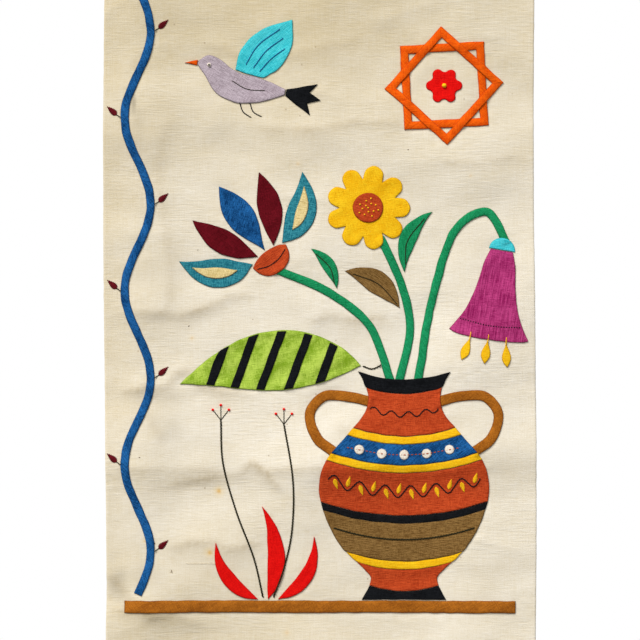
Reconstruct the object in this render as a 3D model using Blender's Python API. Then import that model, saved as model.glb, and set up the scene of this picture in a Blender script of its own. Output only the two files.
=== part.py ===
"""An applique wall hanging: a hemmed canvas ground with turned-edge cotton patches and tapes sewn
on it in up to three layers. It hangs from its top edge in the XZ plane, with the design towards -Y.

Every piece starts as a flat pattern in the XZ plane, in millimetres. lay() cuts the pattern along
the fold lines that cross it, thickens it, and moves it onto the folds at its own layer, so that a
patch stays parallel to the cloth below it.
"""

import math

import bmesh
import bpy

MM = 0.001

# Driving sizes, in millimetres.
PANEL_WIDTH = 430.0
PANEL_HEIGHT = 740.0
GROUND_THICK = 1.2
HEM_WIDTH = 14.0
HEM_THICK = 1.0
PATCH_THICK = 1.0
GAP = 0.3
TAPE_WIDTH = 8.0
SHELF_WIDTH = 12.0
SHELF_DROP = 656.0

# How finely round stretches are stepped, and how near two corners count as one.
STEPS_LEAF = 8
STEPS_RIBBON = 5
MERGE = 1e-6
ON_THE_LINE = 1e-5
PARALLEL = 1e-9
PETAL_ROUNDNESS = 0.6

# Cloth colours, as display values from 0 to 255, with the cloth's roughness.
COLOURS = {
    "canvas": (228, 217, 191, 0.92),
    "terracotta": (186, 66, 32, 0.85),
    "yellow": (245, 190, 26, 0.82),
    "blue": (30, 88, 155, 0.85),
    "white": (236, 227, 212, 0.88),
    "black": (18, 19, 22, 0.88),
    "olive": (123, 94, 50, 0.88),
    "ochre": (176, 106, 30, 0.86),
    "green": (28, 138, 92, 0.85),
    "lime": (158, 202, 48, 0.84),
    "teal": (44, 126, 142, 0.85),
    "burgundy": (98, 12, 26, 0.86),
    "cream": (222, 201, 141, 0.88),
    "magenta": (176, 42, 116, 0.84),
    "orange": (240, 92, 10, 0.83),
    "lilac": (178, 164, 172, 0.74),
    "turquoise": (62, 196, 208, 0.84),
    "red": (222, 16, 18, 0.83),
}

# Folds of the hung cloth. Each is a soft straight ridge: the way it runs in degrees (0 level, 90
# upright), where it crosses the panel, how far it reaches to either side, and how far it stands out.
FOLDS = (
    # name, runs_deg, through_x, through_z, reach_up, reach_down, height
    ("storage_crease", 1.5, -69.0, -515.0, 62.0, 26.0, 3.4),
    ("left_flute", 90.0, -178.0, -300.0, 34.0, 46.0, 2.6),
    ("middle_flute", 88.0, -8.0, -370.0, 74.0, 92.0, 3.0),
    ("right_flute", 91.0, 152.0, -370.0, 60.0, 48.0, 2.4),
    ("upper_wave", -3.0, 0.0, -190.0, 70.0, 88.0, 1.8),
    ("lower_wave", 38.0, -170.0, -650.0, 48.0, 60.0, 3.2),
)


# ---------------------------------------------------------------- folds


def fold_normal(runs_deg):
    """The unit vector square to a fold, on its upper side (on its left side where it is upright)."""
    turn = math.radians(runs_deg)
    return -math.sin(turn), math.cos(turn)


def relief(x, z):
    """How far the cloth stands off the wall at a point of the pattern, in millimetres."""
    total = 0.0
    for _, runs_deg, through_x, through_z, reach_up, reach_down, height in FOLDS:
        across_x, across_z = fold_normal(runs_deg)
        away = (x - through_x) * across_x + (z - through_z) * across_z
        reach = reach_up if away > 0 else reach_down
        total += height * max(0.0, 1.0 - abs(away) / reach)
    return total


def fold_lines():
    """A point and the normal of each line at which the relief changes slope, in metres."""
    for _, runs_deg, through_x, through_z, reach_up, reach_down, _ in FOLDS:
        across_x, across_z = fold_normal(runs_deg)
        for away in (-reach_down, 0.0, reach_up):
            x = through_x + away * across_x
            z = through_z + away * across_z
            yield (x * MM, 0.0, z * MM), (across_x, 0.0, across_z)


# ---------------------------------------------------------------- flat patterns


def placed(points, x, z, turn_deg=0.0, mirror=False):
    """Points turned counterclockwise about the origin, then moved to x, z."""
    turn = math.radians(turn_deg)
    side = -1.0 if mirror else 1.0
    return [
        (
            x + side * px * math.cos(turn) - pz * math.sin(turn),
            z + side * px * math.sin(turn) + pz * math.cos(turn),
        )
        for px, pz in points
    ]


def eased(before, here, there, after, t):
    """A smooth curve's value a share t of the way from here to there (Catmull-Rom)."""
    slope = there - before
    bend = 2 * before - 5 * here + 4 * there - after
    twist = 3 * here - before - 3 * there + after
    return here + 0.5 * (slope * t + bend * t**2 + twist * t**3)


def smooth_path(points, steps=STEPS_RIBBON):
    """A smooth open path through the given points, with steps spans between each two."""
    ends = [points[0]] + list(points) + [points[-1]]
    path = []
    for four in zip(ends, ends[1:], ends[2:], ends[3:]):
        for i in range(steps):
            path.append(tuple(eased(*values, i / steps) for values in zip(*four)))
    return path + [points[-1]]


def offset_path(path, offset_at):
    """The path moved to its left by offset_at(share of the way along)."""
    moved = []
    last = len(path) - 1
    for i, (x, z) in enumerate(path):
        back, ahead = path[max(i - 1, 0)], path[min(i + 1, last)]
        along_x, along_z = ahead[0] - back[0], ahead[1] - back[1]
        length = math.hypot(along_x, along_z)
        offset = offset_at(i / last)
        moved.append((x - along_z / length * offset, z + along_x / length * offset))
    return moved


def bowed(base, tip, bend, share):
    """The point at a share of the way from base to tip, on a line bowed to its left."""
    dx, dz = tip[0] - base[0], tip[1] - base[1]
    bow = 4 * bend * share * (1 - share)
    return base[0] + dx * share - dz * bow, base[1] + dz * share + dx * bow


def lens(base, tip, width, bend=0.0, widest=0.5, steps=STEPS_LEAF):
    """A leaf or petal from base to tip, bowed to its left by bend of its length."""
    middle = [bowed(base, tip, bend, i / steps) for i in range(steps + 1)]
    power = math.log(0.5) / math.log(widest)

    def half(t):
        return width / 2 * math.sin(math.pi * t**power)

    left = offset_path(middle, half)
    right = offset_path(middle, lambda t: -half(t))
    return [base] + right[1:-1] + [tip] + left[-2:0:-1]


def ribbon(path, width):
    """The quads of a tape of the given width along a path."""
    left = offset_path(path, lambda t: width / 2)
    right = offset_path(path, lambda t: -width / 2)
    return [
        [right[i], right[i + 1], left[i + 1], left[i]] for i in range(len(path) - 1)
    ]


def disc(x, z, radius, sides=14):
    """A round patch."""
    return [
        (
            x + radius * math.cos(math.tau * i / sides),
            z + radius * math.sin(math.tau * i / sides),
        )
        for i in range(sides)
    ]


def rosette(x, z, inner, outer, petals, per_petal=6):
    """A one-piece flower whose edge swings between the inner and outer radius."""
    points = []
    for i in range(petals * per_petal):
        turn = math.tau * i / (petals * per_petal)
        swing = abs(math.cos(petals * turn / 2)) ** PETAL_ROUNDNESS
        radius = inner + (outer - inner) * swing
        points.append((x + radius * math.cos(turn), z + radius * math.sin(turn)))
    return points


def square_frame(x, z, half, width, turn_deg):
    """The four mitred strips of a square frame of tape."""
    corners = ((-1, -1), (1, -1), (1, 1), (-1, 1))
    outer = placed([(a * half, b * half) for a, b in corners], x, z, turn_deg)
    inside = half - width
    inner = placed([(a * inside, b * inside) for a, b in corners], x, z, turn_deg)
    return [
        [outer[i], outer[(i + 1) % 4], inner[(i + 1) % 4], inner[i]] for i in range(4)
    ]


def crossing(line_point, line_way, outline):
    """Where a straight line crosses a closed outline, from the first crossing to the last."""
    found = []
    for (ax, az), (bx, bz) in zip(outline, outline[1:] + outline[:1]):
        ex, ez = bx - ax, bz - az
        turn = line_way[0] * ez - line_way[1] * ex
        if abs(turn) < PARALLEL:
            continue
        wx, wz = ax - line_point[0], az - line_point[1]
        along_line = (wx * ez - wz * ex) / turn
        along_edge = (wx * line_way[1] - wz * line_way[0]) / turn
        if 0 <= along_edge < 1:
            found.append(along_line)
    return min(found), max(found)


# ---------------------------------------------------------------- making a piece


def cloth_material(colour):
    """A matt cotton in one of the named colours."""
    found = bpy.data.materials.get(colour)
    if found:
        return found
    *display, roughness = COLOURS[colour]
    material = bpy.data.materials.new(colour)
    material.use_nodes = True
    shader = material.node_tree.nodes["Principled BSDF"]
    linear = [(value / 255) ** 2.2 for value in display]
    shader.inputs["Base Color"].default_value = (*linear, 1)
    shader.inputs["Roughness"].default_value = roughness
    material.diffuse_color = (*linear, 1)
    return material


def flat_sheet(faces):
    """A bmesh of the flat pattern, cut along every fold line that crosses it."""
    bm = bmesh.new()
    for corners in faces:
        bm.faces.new([bm.verts.new((x * MM, 0.0, z * MM)) for x, z in corners])
    bmesh.ops.remove_doubles(bm, verts=bm.verts, dist=MERGE)
    for place, normal in fold_lines():
        bmesh.ops.bisect_plane(
            bm,
            geom=bm.verts[:] + bm.edges[:] + bm.faces[:],
            dist=ON_THE_LINE,
            plane_co=place,
            plane_no=normal,
        )
    return bm


def thicken(bm, back, front):
    """Turns the flat sheet into a closed slab between two distances off the folds' back."""
    for vert in bm.verts:
        vert.co.y = -back * MM
    grown = bmesh.ops.extrude_face_region(bm, geom=bm.faces[:])
    for item in grown["geom"]:
        if isinstance(item, bmesh.types.BMVert):
            item.co.y = -front * MM


def hang(bm, name, colour):
    """Moves the slab onto the folds and makes it a named object."""
    for vert in bm.verts:
        vert.co.y -= relief(vert.co.x / MM, vert.co.z / MM) * MM
    bmesh.ops.triangulate(bm, faces=bm.faces[:])
    bmesh.ops.recalc_face_normals(bm, faces=bm.faces[:])
    mesh = bpy.data.meshes.new(name)
    bm.to_mesh(mesh)
    bm.free()
    mesh.materials.append(cloth_material(colour))
    piece = bpy.data.objects.new(name, mesh)
    bpy.context.scene.collection.objects.link(piece)


def lay_tape(name, colour, strips, layer=1):
    """Sews on a piece whose pattern is several faces: layer 1 on the canvas, 2 on layer 1."""
    back = GROUND_THICK + GAP + (layer - 1) * (PATCH_THICK + GAP)
    bm = flat_sheet(strips)
    thicken(bm, back, back + PATCH_THICK)
    hang(bm, name, colour)


def lay(name, colour, outline, layer=1):
    """Sews on a patch that is cut to one outline."""
    lay_tape(name, colour, [outline], layer)


# ---------------------------------------------------------------- the ground


# Each side of the panel, and how its hand-turned hem wanders out and in on the way.
PANEL_SIDES = (
    # from_x, from_z, to_x, to_z, wander, turns
    (-0.5, -1.0, 0.5, -1.0, 1.6, 0.8),
    (0.5, -1.0, 0.5, 0.0, 1.5, 1.0),
    (0.5, 0.0, -0.5, 0.0, 0.0, 1.0),
    (-0.5, 0.0, -0.5, -1.0, 1.8, 0.8),
)
SIDE_STEPS = 8


def panel_outline():
    """The outline of the panel, whose top edge is straight and whose other sides wander."""
    points = []
    for from_x, from_z, to_x, to_z, wander, turns in PANEL_SIDES:
        for i in range(SIDE_STEPS):
            t = i / SIDE_STEPS
            out = wander * math.sin(math.tau * turns * t)
            x = (from_x + (to_x - from_x) * t) * PANEL_WIDTH
            z = (from_z + (to_z - from_z) * t) * PANEL_HEIGHT
            points.append((x + out * (to_z - from_z), z - out * (to_x - from_x)))
    return points


def ground():
    """The canvas, with its hem turned to the back all round."""
    bm = flat_sheet([panel_outline()])
    thicken(bm, 0.0, GROUND_THICK)
    bmesh.ops.recalc_face_normals(bm, faces=bm.faces[:])
    back_faces = [face for face in bm.faces if face.normal.y > 0.5]
    rim = bmesh.ops.inset_region(
        bm, faces=back_faces, thickness=HEM_WIDTH * MM, use_even_offset=True
    )
    turned = bmesh.ops.extrude_face_region(bm, geom=rim["faces"])
    bmesh.ops.delete(bm, geom=rim["faces"], context="FACES")
    for item in turned["geom"]:
        if isinstance(item, bmesh.types.BMVert):
            item.co.y += HEM_THICK * MM
    hang(bm, "ground", "canvas")


# ---------------------------------------------------------------- the vase

VASE_X = 84.0
SEAM_TO_SHELF = 0.6
VASE_FOOT_Z = -SHELF_DROP + SHELF_WIDTH / 2 + SEAM_TO_SHELF
SEAM = 0.4
SAG = 0.17
OUTLINE_STEP = 9.0

# The vase's outline: half its width at each height above its foot.
VASE_PROFILE = (
    # height, half_width
    (0.0, 42.0),
    (16.0, 34.0),
    (26.0, 36.0),
    (58.0, 66.0),
    (100.0, 84.0),
    (136.0, 80.0),
    (164.0, 58.0),
    (186.0, 40.0),
    (206.0, 36.0),
    (228.0, 46.0),
)

# The bands it is pieced from, foot to rim.
VASE_BANDS = (
    # name, colour, bottom, top
    ("foot", "black", 0.0, 14.0),
    ("base", "terracotta", 14.0, 38.0),
    ("low_band", "yellow", 38.0, 48.0),
    ("belly", "olive", 48.0, 90.0),
    ("waist_band", "black", 90.0, 98.0),
    ("body", "terracotta", 98.0, 140.0),
    ("collar_low", "yellow", 140.0, 147.0),
    ("collar", "blue", 147.0, 165.0),
    ("collar_high", "yellow", 165.0, 172.0),
    ("neck", "terracotta", 172.0, 212.0),
    ("rim", "black", 212.0, 228.0),
)


# The middle line of the right handle, from the neck to the shoulder.
HANDLE = ((37.6, 199.0), (56.0, 203.0), (80.0, 203.0), (94.0, 186.0), (88.0, 163.0), (75.0, 151.5))
HANDLE_WIDTH = 10.0

DISC_RADIUS = 4.8
DISC_COUNT = 5
DISC_SPREAD = 0.69


def vase_half_width(height):
    """Half the vase's width at a height, smooth between the rows of VASE_PROFILE."""
    path = smooth_path(VASE_PROFILE, steps=6)
    for (low, narrow), (high, wide) in zip(path, path[1:]):
        if low <= height <= high:
            return narrow + (wide - narrow) * (height - low) / (high - low)
    return path[-1][1]


def vase_seam(height, steps=6):
    """A seam across the vase from left to right, sagging as it would round a turned body."""
    half = vase_half_width(height)
    sag = SAG * half if height > 0 else 0.0
    return [
        (half * (2 * i / steps - 1), height - sag * (1 - (2 * i / steps - 1) ** 2))
        for i in range(steps + 1)
    ]


def vase_band(bottom, top):
    """The outline of one band of the vase."""
    low = vase_seam(bottom + (SEAM / 2 if bottom else 0.0))
    high = vase_seam(top - SEAM / 2)
    first, last = low[0][1], high[0][1]
    spans = max(1, round((last - first) / OUTLINE_STEP))
    heights = [first + (last - first) * i / spans for i in range(1, spans)]
    right = [(vase_half_width(h), h) for h in heights]
    left = [(-half, h) for half, h in reversed(right)]
    return low + right + high[::-1] + left


def vase():
    """The bands, the white discs on the collar, and two handles."""
    for name, colour, bottom, top in VASE_BANDS:
        outline = placed(vase_band(bottom, top), VASE_X, VASE_FOOT_Z)
        lay(f"vase_{name}", colour, outline)
    bottom, top = next(band[2:] for band in VASE_BANDS if band[0] == "collar")
    middle = (bottom + top) / 2
    half = vase_half_width(middle)
    for i in range(DISC_COUNT):
        share = DISC_SPREAD * (2 * i / (DISC_COUNT - 1) - 1)
        height = middle - SAG * half * (1 - share**2)
        spot = disc(VASE_X + share * half, VASE_FOOT_Z + height, DISC_RADIUS, sides=12)
        lay(f"vase_disc_{i + 1}", "white", spot, layer=2)
    for name, mirror in (("left", True), ("right", False)):
        path = placed(smooth_path(HANDLE, 4), VASE_X, VASE_FOOT_Z, mirror=mirror)
        lay_tape(f"vase_handle_{name}", "ochre", ribbon(path, HANDLE_WIDTH))


# ---------------------------------------------------------------- flowers and leaves

# The green tapes that rise from the vase, each by the points it runs through.
STEMS = {
    "stem_left": ((66.0, -417.0), (48.0, -374.0), (8.0, -342.0), (-37.0, -322.5)),
    "stem_middle": ((82.0, -419.0), (90.0, -378.0), (82.0, -336.0), (65.5, -298.5)),
    "stem_right": (
        (100.0, -418.0),
        (112.0, -350.0),
        (134.0, -282.0),
        (166.0, -262.0),
        (183.0, -286.5),
    ),
}

STEM_LEAVES = (
    # name, colour, base_x, base_z, tip_x, tip_z, width, bend
    ("leaf_middle", "olive", 79.5, -358.0, 25.0, -321.0, 23.0, -0.13),
    ("leaf_upper", "green", 84.5, -322.0, 112.0, -262.0, 17.0, 0.16),
    ("leaf_left", "green", 17.0, -338.5, -9.0, -299.0, 13.0, -0.12),
)

PALMETTE_X, PALMETTE_Z, PALMETTE_TURN = -40.0, -321.0, 36.0
CALYX_SIDE = ((5.0, 0.0), (13.0, 3.5), (18.5, 10.5), (20.5, 18.0), (13.5, 22.0))
CALYX_TOP = 24.0
PALMETTE_PETALS = (
    # name, colour, base_x, base_z, tip_x, tip_z, width, bend, widest
    ("outer_left", "teal", -18.5, 21.5, -76.0, 67.0, 29.0, 0.14, 0.45),
    ("inner_left", "burgundy", -9.6, 24.6, -41.0, 92.0, 24.0, 0.05, 0.5),
    ("centre", "blue", 0.0, 25.6, 0.0, 104.0, 29.0, 0.0, 0.55),
    ("inner_right", "burgundy", 9.6, 24.6, 41.0, 92.0, 24.0, -0.05, 0.5),
    ("outer_right", "teal", 18.5, 21.5, 76.0, 67.0, 29.0, -0.14, 0.45),
)
INLAY_FROM, INLAY_TO, INLAY_WIDTH = 0.2, 0.82, 11.0

DAISY_X, DAISY_Z = 48.0, -258.0
DAISY_INNER, DAISY_OUTER, DAISY_PETALS, DAISY_CENTRE = 29.0, 42.0, 9, 15.0

BELL_X, BELL_Z, BELL_TURN = 184.0, -286.0, -9.0
BELL_PROFILE = (
    # drop, half_width
    (15.0, 11.0),
    (30.0, 16.0),
    (52.0, 19.5),
    (78.0, 27.0),
    (100.0, 40.0),
)
BELL_HEM_SAG = 5.0
BELL_CAP_RADIUS, BELL_CAP_BASE = 13.0, 14.3
BELL_STAMENS = (
    # name, x, lean
    ("left", -18.0, -5.0),
    ("middle", 0.0, 0.0),
    ("right", 18.0, 5.0),
)
STAMEN_LENGTH, STAMEN_WIDTH = 24.0, 9.0


def half_turn(radius_x, radius_z, steps=8):
    """The points of half an ellipse from -radius_x to radius_x, over the top."""
    return [
        (
            -radius_x * math.cos(math.pi * i / steps),
            radius_z * math.sin(math.pi * i / steps),
        )
        for i in range(steps + 1)
    ]


def palmette():
    """A fan of five petals on a cup-shaped calyx, with a cream inlay on each outer petal."""

    def put(points):
        return placed(points, PALMETTE_X, PALMETTE_Z, PALMETTE_TURN)

    left_side = [(-x, z) for x, z in CALYX_SIDE[::-1]]
    lay("palmette_calyx", "terracotta", put(list(CALYX_SIDE) + [(0.0, CALYX_TOP)] + left_side))
    for name, colour, base_x, base_z, tip_x, tip_z, width, bend, widest in PALMETTE_PETALS:
        base, tip = (base_x, base_z), (tip_x, tip_z)
        lay(f"petal_{name}", colour, put(lens(base, tip, width, bend, widest)))
        if name.startswith("outer"):
            ends = [bowed(base, tip, bend, share) for share in (INLAY_FROM, INLAY_TO)]
            inlay = lens(*ends, INLAY_WIDTH, bend * (INLAY_TO - INLAY_FROM), widest, 6)
            lay(f"inlay_{name}", "cream", put(inlay), layer=2)


def bell():
    """A hanging bell flower with a cap and three stamens under its hem."""

    def put(points):
        return placed([(x, -drop) for x, drop in points], BELL_X, BELL_Z, BELL_TURN)

    side = smooth_path([(half, drop) for drop, half in BELL_PROFILE], 4)
    hem_drop, hem_half = BELL_PROFILE[-1]
    hem = [(-x, hem_drop + sag) for x, sag in half_turn(hem_half, BELL_HEM_SAG, 6)]
    lay("bell", "magenta", put(side + hem[1:-1] + [(-x, drop) for x, drop in side[::-1]]))
    cap = half_turn(BELL_CAP_RADIUS, BELL_CAP_RADIUS - 1.0)
    lay("bell_cap", "turquoise", put([(x, BELL_CAP_BASE - rise) for x, rise in cap]))
    for name, x, lean in BELL_STAMENS:
        start = hem_drop + BELL_HEM_SAG + SEAM
        tip = (x + lean, start + STAMEN_LENGTH)
        lay(f"stamen_{name}", "yellow", put(lens((x, start), tip, STAMEN_WIDTH, 0.0, 0.6, 6)))


def flowers():
    """The stems, their leaves and the three flowers."""
    for name, points in STEMS.items():
        lay_tape(name, "green", ribbon(smooth_path(points), TAPE_WIDTH))
    for name, colour, base_x, base_z, tip_x, tip_z, width, bend in STEM_LEAVES:
        lay(name, colour, lens((base_x, base_z), (tip_x, tip_z), width, bend))
    petals = rosette(DAISY_X, DAISY_Z, DAISY_INNER, DAISY_OUTER, DAISY_PETALS)
    lay("daisy", "yellow", petals)
    lay("daisy_centre", "terracotta", disc(DAISY_X, DAISY_Z, DAISY_CENTRE), layer=2)
    palmette()
    bell()


LIME_BASE, LIME_TIP = (41.0, -415.5), (-140.0, -434.0)
LIME_WIDTH, LIME_BEND, LIME_WIDEST = 60.0, -0.075, 0.44
VEIN_COUNT, VEIN_WIDTH, VEIN_INSET, VEIN_LEAN = 5, 8.0, 0.8, 64.0
VEIN_FROM, VEIN_TO = 0.18, 0.8


def lime_leaf():
    """The large leaf, crossed by slanting black tapes that end just inside its edge."""
    outline = lens(LIME_BASE, LIME_TIP, LIME_WIDTH, LIME_BEND, LIME_WIDEST, 14)
    lay("lime_leaf", "lime", outline)
    lies = math.atan2(LIME_TIP[1] - LIME_BASE[1], LIME_TIP[0] - LIME_BASE[0])
    slant = lies + math.radians(VEIN_LEAN)
    way = (math.cos(slant), math.sin(slant))
    for i in range(VEIN_COUNT):
        share = VEIN_FROM + (VEIN_TO - VEIN_FROM) * i / (VEIN_COUNT - 1)
        x, z = bowed(LIME_BASE, LIME_TIP, LIME_BEND, share)
        corners = []
        for side in (-1, 1):
            aside = side * VEIN_WIDTH / 2
            point = (x - way[1] * aside, z + way[0] * aside)
            first, last = crossing(point, way, outline)
            for along in (first + VEIN_INSET, last - VEIN_INSET)[::side]:
                corners.append((point[0] + way[0] * along, point[1] + way[1] * along))
        lay(f"lime_vein_{i + 1}", "black", corners, layer=2)


# ---------------------------------------------------------------- bird, star, vine, tuft, shelf

BIRD_X, BIRD_Z, BIRD_TURN = -74.0, -134.0, -12.0
BIRD_BACK = ((-51.0, 13.0), (-43.0, 20.0), (-30.0, 18.5), (-12.0, 10.0), (18.0, 7.5), (40.0, 2.5))
BIRD_FRONT = ((40.0, -3.0), (20.0, -14.0), (-4.0, -20.5), (-27.0, -15.0), (-42.0, 0.0), (-51.0, 9.0))
BIRD_BEAK = ((-51.9, 13.6), (-64.0, 8.0), (-51.8, 8.0))
BIRD_TAIL = (
    (41.0, 2.6),
    (70.0, 14.0),
    (64.0, 4.0),
    (76.0, -1.0),
    (64.0, -7.0),
    (69.0, -18.0),
    (41.0, -4.0),
)
BIRD_WING_LEADING = ((-13.0, 11.4), (-12.0, 32.0), (2.0, 54.0), (32.0, 72.0))
BIRD_WING_TRAILING = ((32.0, 72.0), (37.0, 46.0), (30.0, 23.0), (15.0, 9.2))


def bird():
    """A dove in flight, facing left, with one raised wing."""

    def put(points):
        return placed(points, BIRD_X, BIRD_Z, BIRD_TURN)

    lay("bird_body", "lilac", put(smooth_path(BIRD_BACK, 3) + smooth_path(BIRD_FRONT, 3)))
    lay("bird_beak", "orange", put(BIRD_BEAK))
    lay("bird_tail", "black", put(BIRD_TAIL))
    wing = smooth_path(BIRD_WING_LEADING, 4)[:-1] + smooth_path(BIRD_WING_TRAILING, 4)
    lay("bird_wing", "turquoise", put(wing))


STAR_X, STAR_Z, STAR_HALF = 124.0, -136.0, 42.0
STAR_TURN = 3.0
STAR_ROSETTE_INNER, STAR_ROSETTE_OUTER, STAR_ROSETTE_PETALS = 10.0, 18.0, 6


def star():
    """Two square frames of tape, one over the other, round a small rosette."""
    for name, turn, layer in (("under", STAR_TURN, 1), ("over", STAR_TURN + 45.0, 2)):
        strips = square_frame(STAR_X, STAR_Z, STAR_HALF, TAPE_WIDTH, turn)
        lay_tape(f"star_frame_{name}", "orange", strips, layer)
    inner, outer, petals = STAR_ROSETTE_INNER, STAR_ROSETTE_OUTER, STAR_ROSETTE_PETALS
    lay("star_rosette", "red", rosette(STAR_X, STAR_Z, inner, outer, petals, 5))


VINE_X, VINE_TOP, VINE_SWING, VINE_WAVES, VINE_STEPS = -182.0, -38.0, 13.0, 3.5, 42


def vine():
    """A wavy blue tape down the left side."""
    bottom = -SHELF_DROP + SHELF_WIDTH
    path = []
    for i in range(VINE_STEPS + 1):
        share = i / VINE_STEPS
        x = VINE_X + VINE_SWING * math.sin(math.tau * VINE_WAVES * share)
        path.append((x, VINE_TOP + (bottom - VINE_TOP) * share))
    lay_tape("vine", "blue", ribbon(path, TAPE_WIDTH))


TUFT = (
    # name, base_x, base_z, tip_x, tip_z, width, bend
    ("left", -62.0, -649.0, -104.0, -592.0, 14.0, 0.16),
    ("middle", -52.0, -649.0, -58.0, -556.0, 17.0, -0.12),
    ("right", -42.0, -649.0, -6.0, -586.0, 14.0, -0.18),
)


TUFT_WIDEST = 0.42


def tuft():
    """Three bent leaves that rise from the shelf."""
    for name, base_x, base_z, tip_x, tip_z, width, bend in TUFT:
        leaf = lens((base_x, base_z), (tip_x, tip_z), width, bend, TUFT_WIDEST)
        lay(f"tuft_{name}", "red", leaf)


SHELF_REACH = PANEL_WIDTH / 2 - HEM_WIDTH - 6.0
SHELF_TILT = 0.8


def shelf():
    """The ochre strip that the vase stands on."""
    path = [(-SHELF_REACH, -SHELF_DROP), (SHELF_REACH, -SHELF_DROP - SHELF_TILT)]
    lay_tape("shelf", "ochre", ribbon(path, SHELF_WIDTH))


def main():
    for item in list(bpy.data.objects):
        bpy.data.objects.remove(item)
    ground()
    shelf()
    vase()
    flowers()
    lime_leaf()
    bird()
    star()
    vine()
    tuft()


main()
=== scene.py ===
# %% [markdown]
# # An applique wall hanging
#
# The real thing is a cream cotton canvas, hemmed all round and hung from its top edge. Cotton
# patches and folded tapes are sewn on it by hand, each with its edge turned under, and a few lines
# are embroidered in dark thread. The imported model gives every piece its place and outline. This
# script gives each its cloth: rounded turned edges, the small pull of every stitch, creases from
# years in a drawer, and a woven finish.

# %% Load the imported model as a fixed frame
import math

import bmesh
import bpy
import numpy as np
from mathutils import Matrix, Vector, noise
from mathutils.bvhtree import BVHTree
from mathutils.geometry import interpolate_bezier
from mathutils.kdtree import KDTree


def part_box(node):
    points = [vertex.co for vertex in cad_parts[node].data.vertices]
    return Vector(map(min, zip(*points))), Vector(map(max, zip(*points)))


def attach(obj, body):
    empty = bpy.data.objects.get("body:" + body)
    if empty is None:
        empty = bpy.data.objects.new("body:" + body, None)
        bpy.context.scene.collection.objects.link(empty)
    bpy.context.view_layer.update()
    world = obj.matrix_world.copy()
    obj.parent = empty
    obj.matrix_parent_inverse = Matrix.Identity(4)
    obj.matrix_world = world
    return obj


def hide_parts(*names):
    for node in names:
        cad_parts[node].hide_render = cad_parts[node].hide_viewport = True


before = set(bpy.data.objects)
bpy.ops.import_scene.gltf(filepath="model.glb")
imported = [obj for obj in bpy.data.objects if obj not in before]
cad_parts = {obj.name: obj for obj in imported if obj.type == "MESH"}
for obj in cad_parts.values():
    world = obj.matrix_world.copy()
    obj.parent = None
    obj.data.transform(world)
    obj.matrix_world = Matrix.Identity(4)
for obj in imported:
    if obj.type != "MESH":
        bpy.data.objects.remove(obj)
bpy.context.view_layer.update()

MM = 0.001
print("pieces in the frame:", len(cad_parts))

# %% [markdown]
# ## Camera
#
# The hanging is seen straight on, from far enough away that it looks flat and square. An
# orthographic camera would look much the same, but a lens at a real distance can also be walked
# round the hanging. So the lens is worked out from the width that has to fill the view.

# %% Camera
VIEW_WIDTH = 0.640
VIEW_CENTRE = Vector((0.0, 0.0, -0.370))
CAMERA_DISTANCE = 2.2
SENSOR = 36.0

camera_data = bpy.data.cameras.new("camera")
camera_data.sensor_width = SENSOR
camera_data.lens = SENSOR * CAMERA_DISTANCE / VIEW_WIDTH
camera = bpy.data.objects.new("camera", camera_data)
camera.location = VIEW_CENTRE - Vector((0.0, CAMERA_DISTANCE, 0.0))
camera.rotation_euler = (math.radians(90.0), 0.0, 0.0)
bpy.context.scene.collection.objects.link(camera)
bpy.context.scene.camera = camera
bpy.context.scene.view_settings.view_transform = "Standard"
print("lens, mm:", round(camera_data.lens, 1))

# %% [markdown]
# ## Lights
#
# One soft light comes from high on the left, so that creases and turned edges show on their lower
# right side. A weaker one fills from the right, and one more lights the back. An area lamp would be
# brighter at the end of the cloth that is nearer to it, so all three are sun lamps. A wide disc
# makes their shadows soft.


# %% Lights
def soft_light(name, way, spread, strength, tint):
    """Soft light that comes along a way, from a patch of sky as many degrees wide as spread."""
    data = bpy.data.lights.new(name, "SUN")
    data.angle = math.radians(spread)
    data.energy = strength
    data.color = tint
    lamp = bpy.data.objects.new(name, data)
    lamp.rotation_euler = Vector(way).to_track_quat("-Z", "Y").to_euler()
    bpy.context.scene.collection.objects.link(lamp)
    print(name, "strength:", strength)


soft_light("key_light", (0.80, 1.00, -1.50), 30.0, 4.0, (1.0, 0.985, 0.96))
soft_light("fill_light", (-1.0, 1.0, 0.1), 50.0, 0.25, (0.97, 0.985, 1.0))
soft_light("back_light", (-0.70, -1.00, -1.20), 30.0, 3.2, (1.0, 0.99, 0.97))

# %% [markdown]
# ## Surroundings
#
# A plain white studio stands round the cloth. A world of one even colour would do, but it would
# wash out the soft shadows that model the folds. So the camera sees white, while all other rays
# meet a light about a third as strong, which is what the Light Path node is for.

# %% Surroundings
AMBIENT = 0.31
WHITE, WARM_WHITE = (1.0, 1.0, 1.0, 1.0), (1.0, 0.99, 0.975, 1.0)

world = bpy.data.worlds.new("studio")
world.use_nodes = True
bpy.context.scene.world = world
world_tree = world.node_tree
world_tree.nodes.clear()
world_out = world_tree.nodes.new("ShaderNodeOutputWorld")
seen_white = world_tree.nodes.new("ShaderNodeBackground")
seen_white.inputs["Color"].default_value = WHITE
lights_cloth = world_tree.nodes.new("ShaderNodeBackground")
lights_cloth.inputs["Color"].default_value = WARM_WHITE
lights_cloth.inputs["Strength"].default_value = AMBIENT
either = world_tree.nodes.new("ShaderNodeMixShader")
light_path = world_tree.nodes.new("ShaderNodeLightPath")
world_tree.links.new(light_path.outputs["Is Camera Ray"], either.inputs["Fac"])
world_tree.links.new(lights_cloth.outputs[0], either.inputs[1])
world_tree.links.new(seen_white.outputs[0], either.inputs[2])
world_tree.links.new(either.outputs[0], world_out.inputs["Surface"])
print("surroundings light the cloth at", AMBIENT, "of what the camera sees")

# %% [markdown]
# ## Floor
#
# The floor is one pale square below the cloth, which ends before the camera would see it. It
# throws no light back, or it would light the undersides of the creases, which are what shows them.

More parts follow.
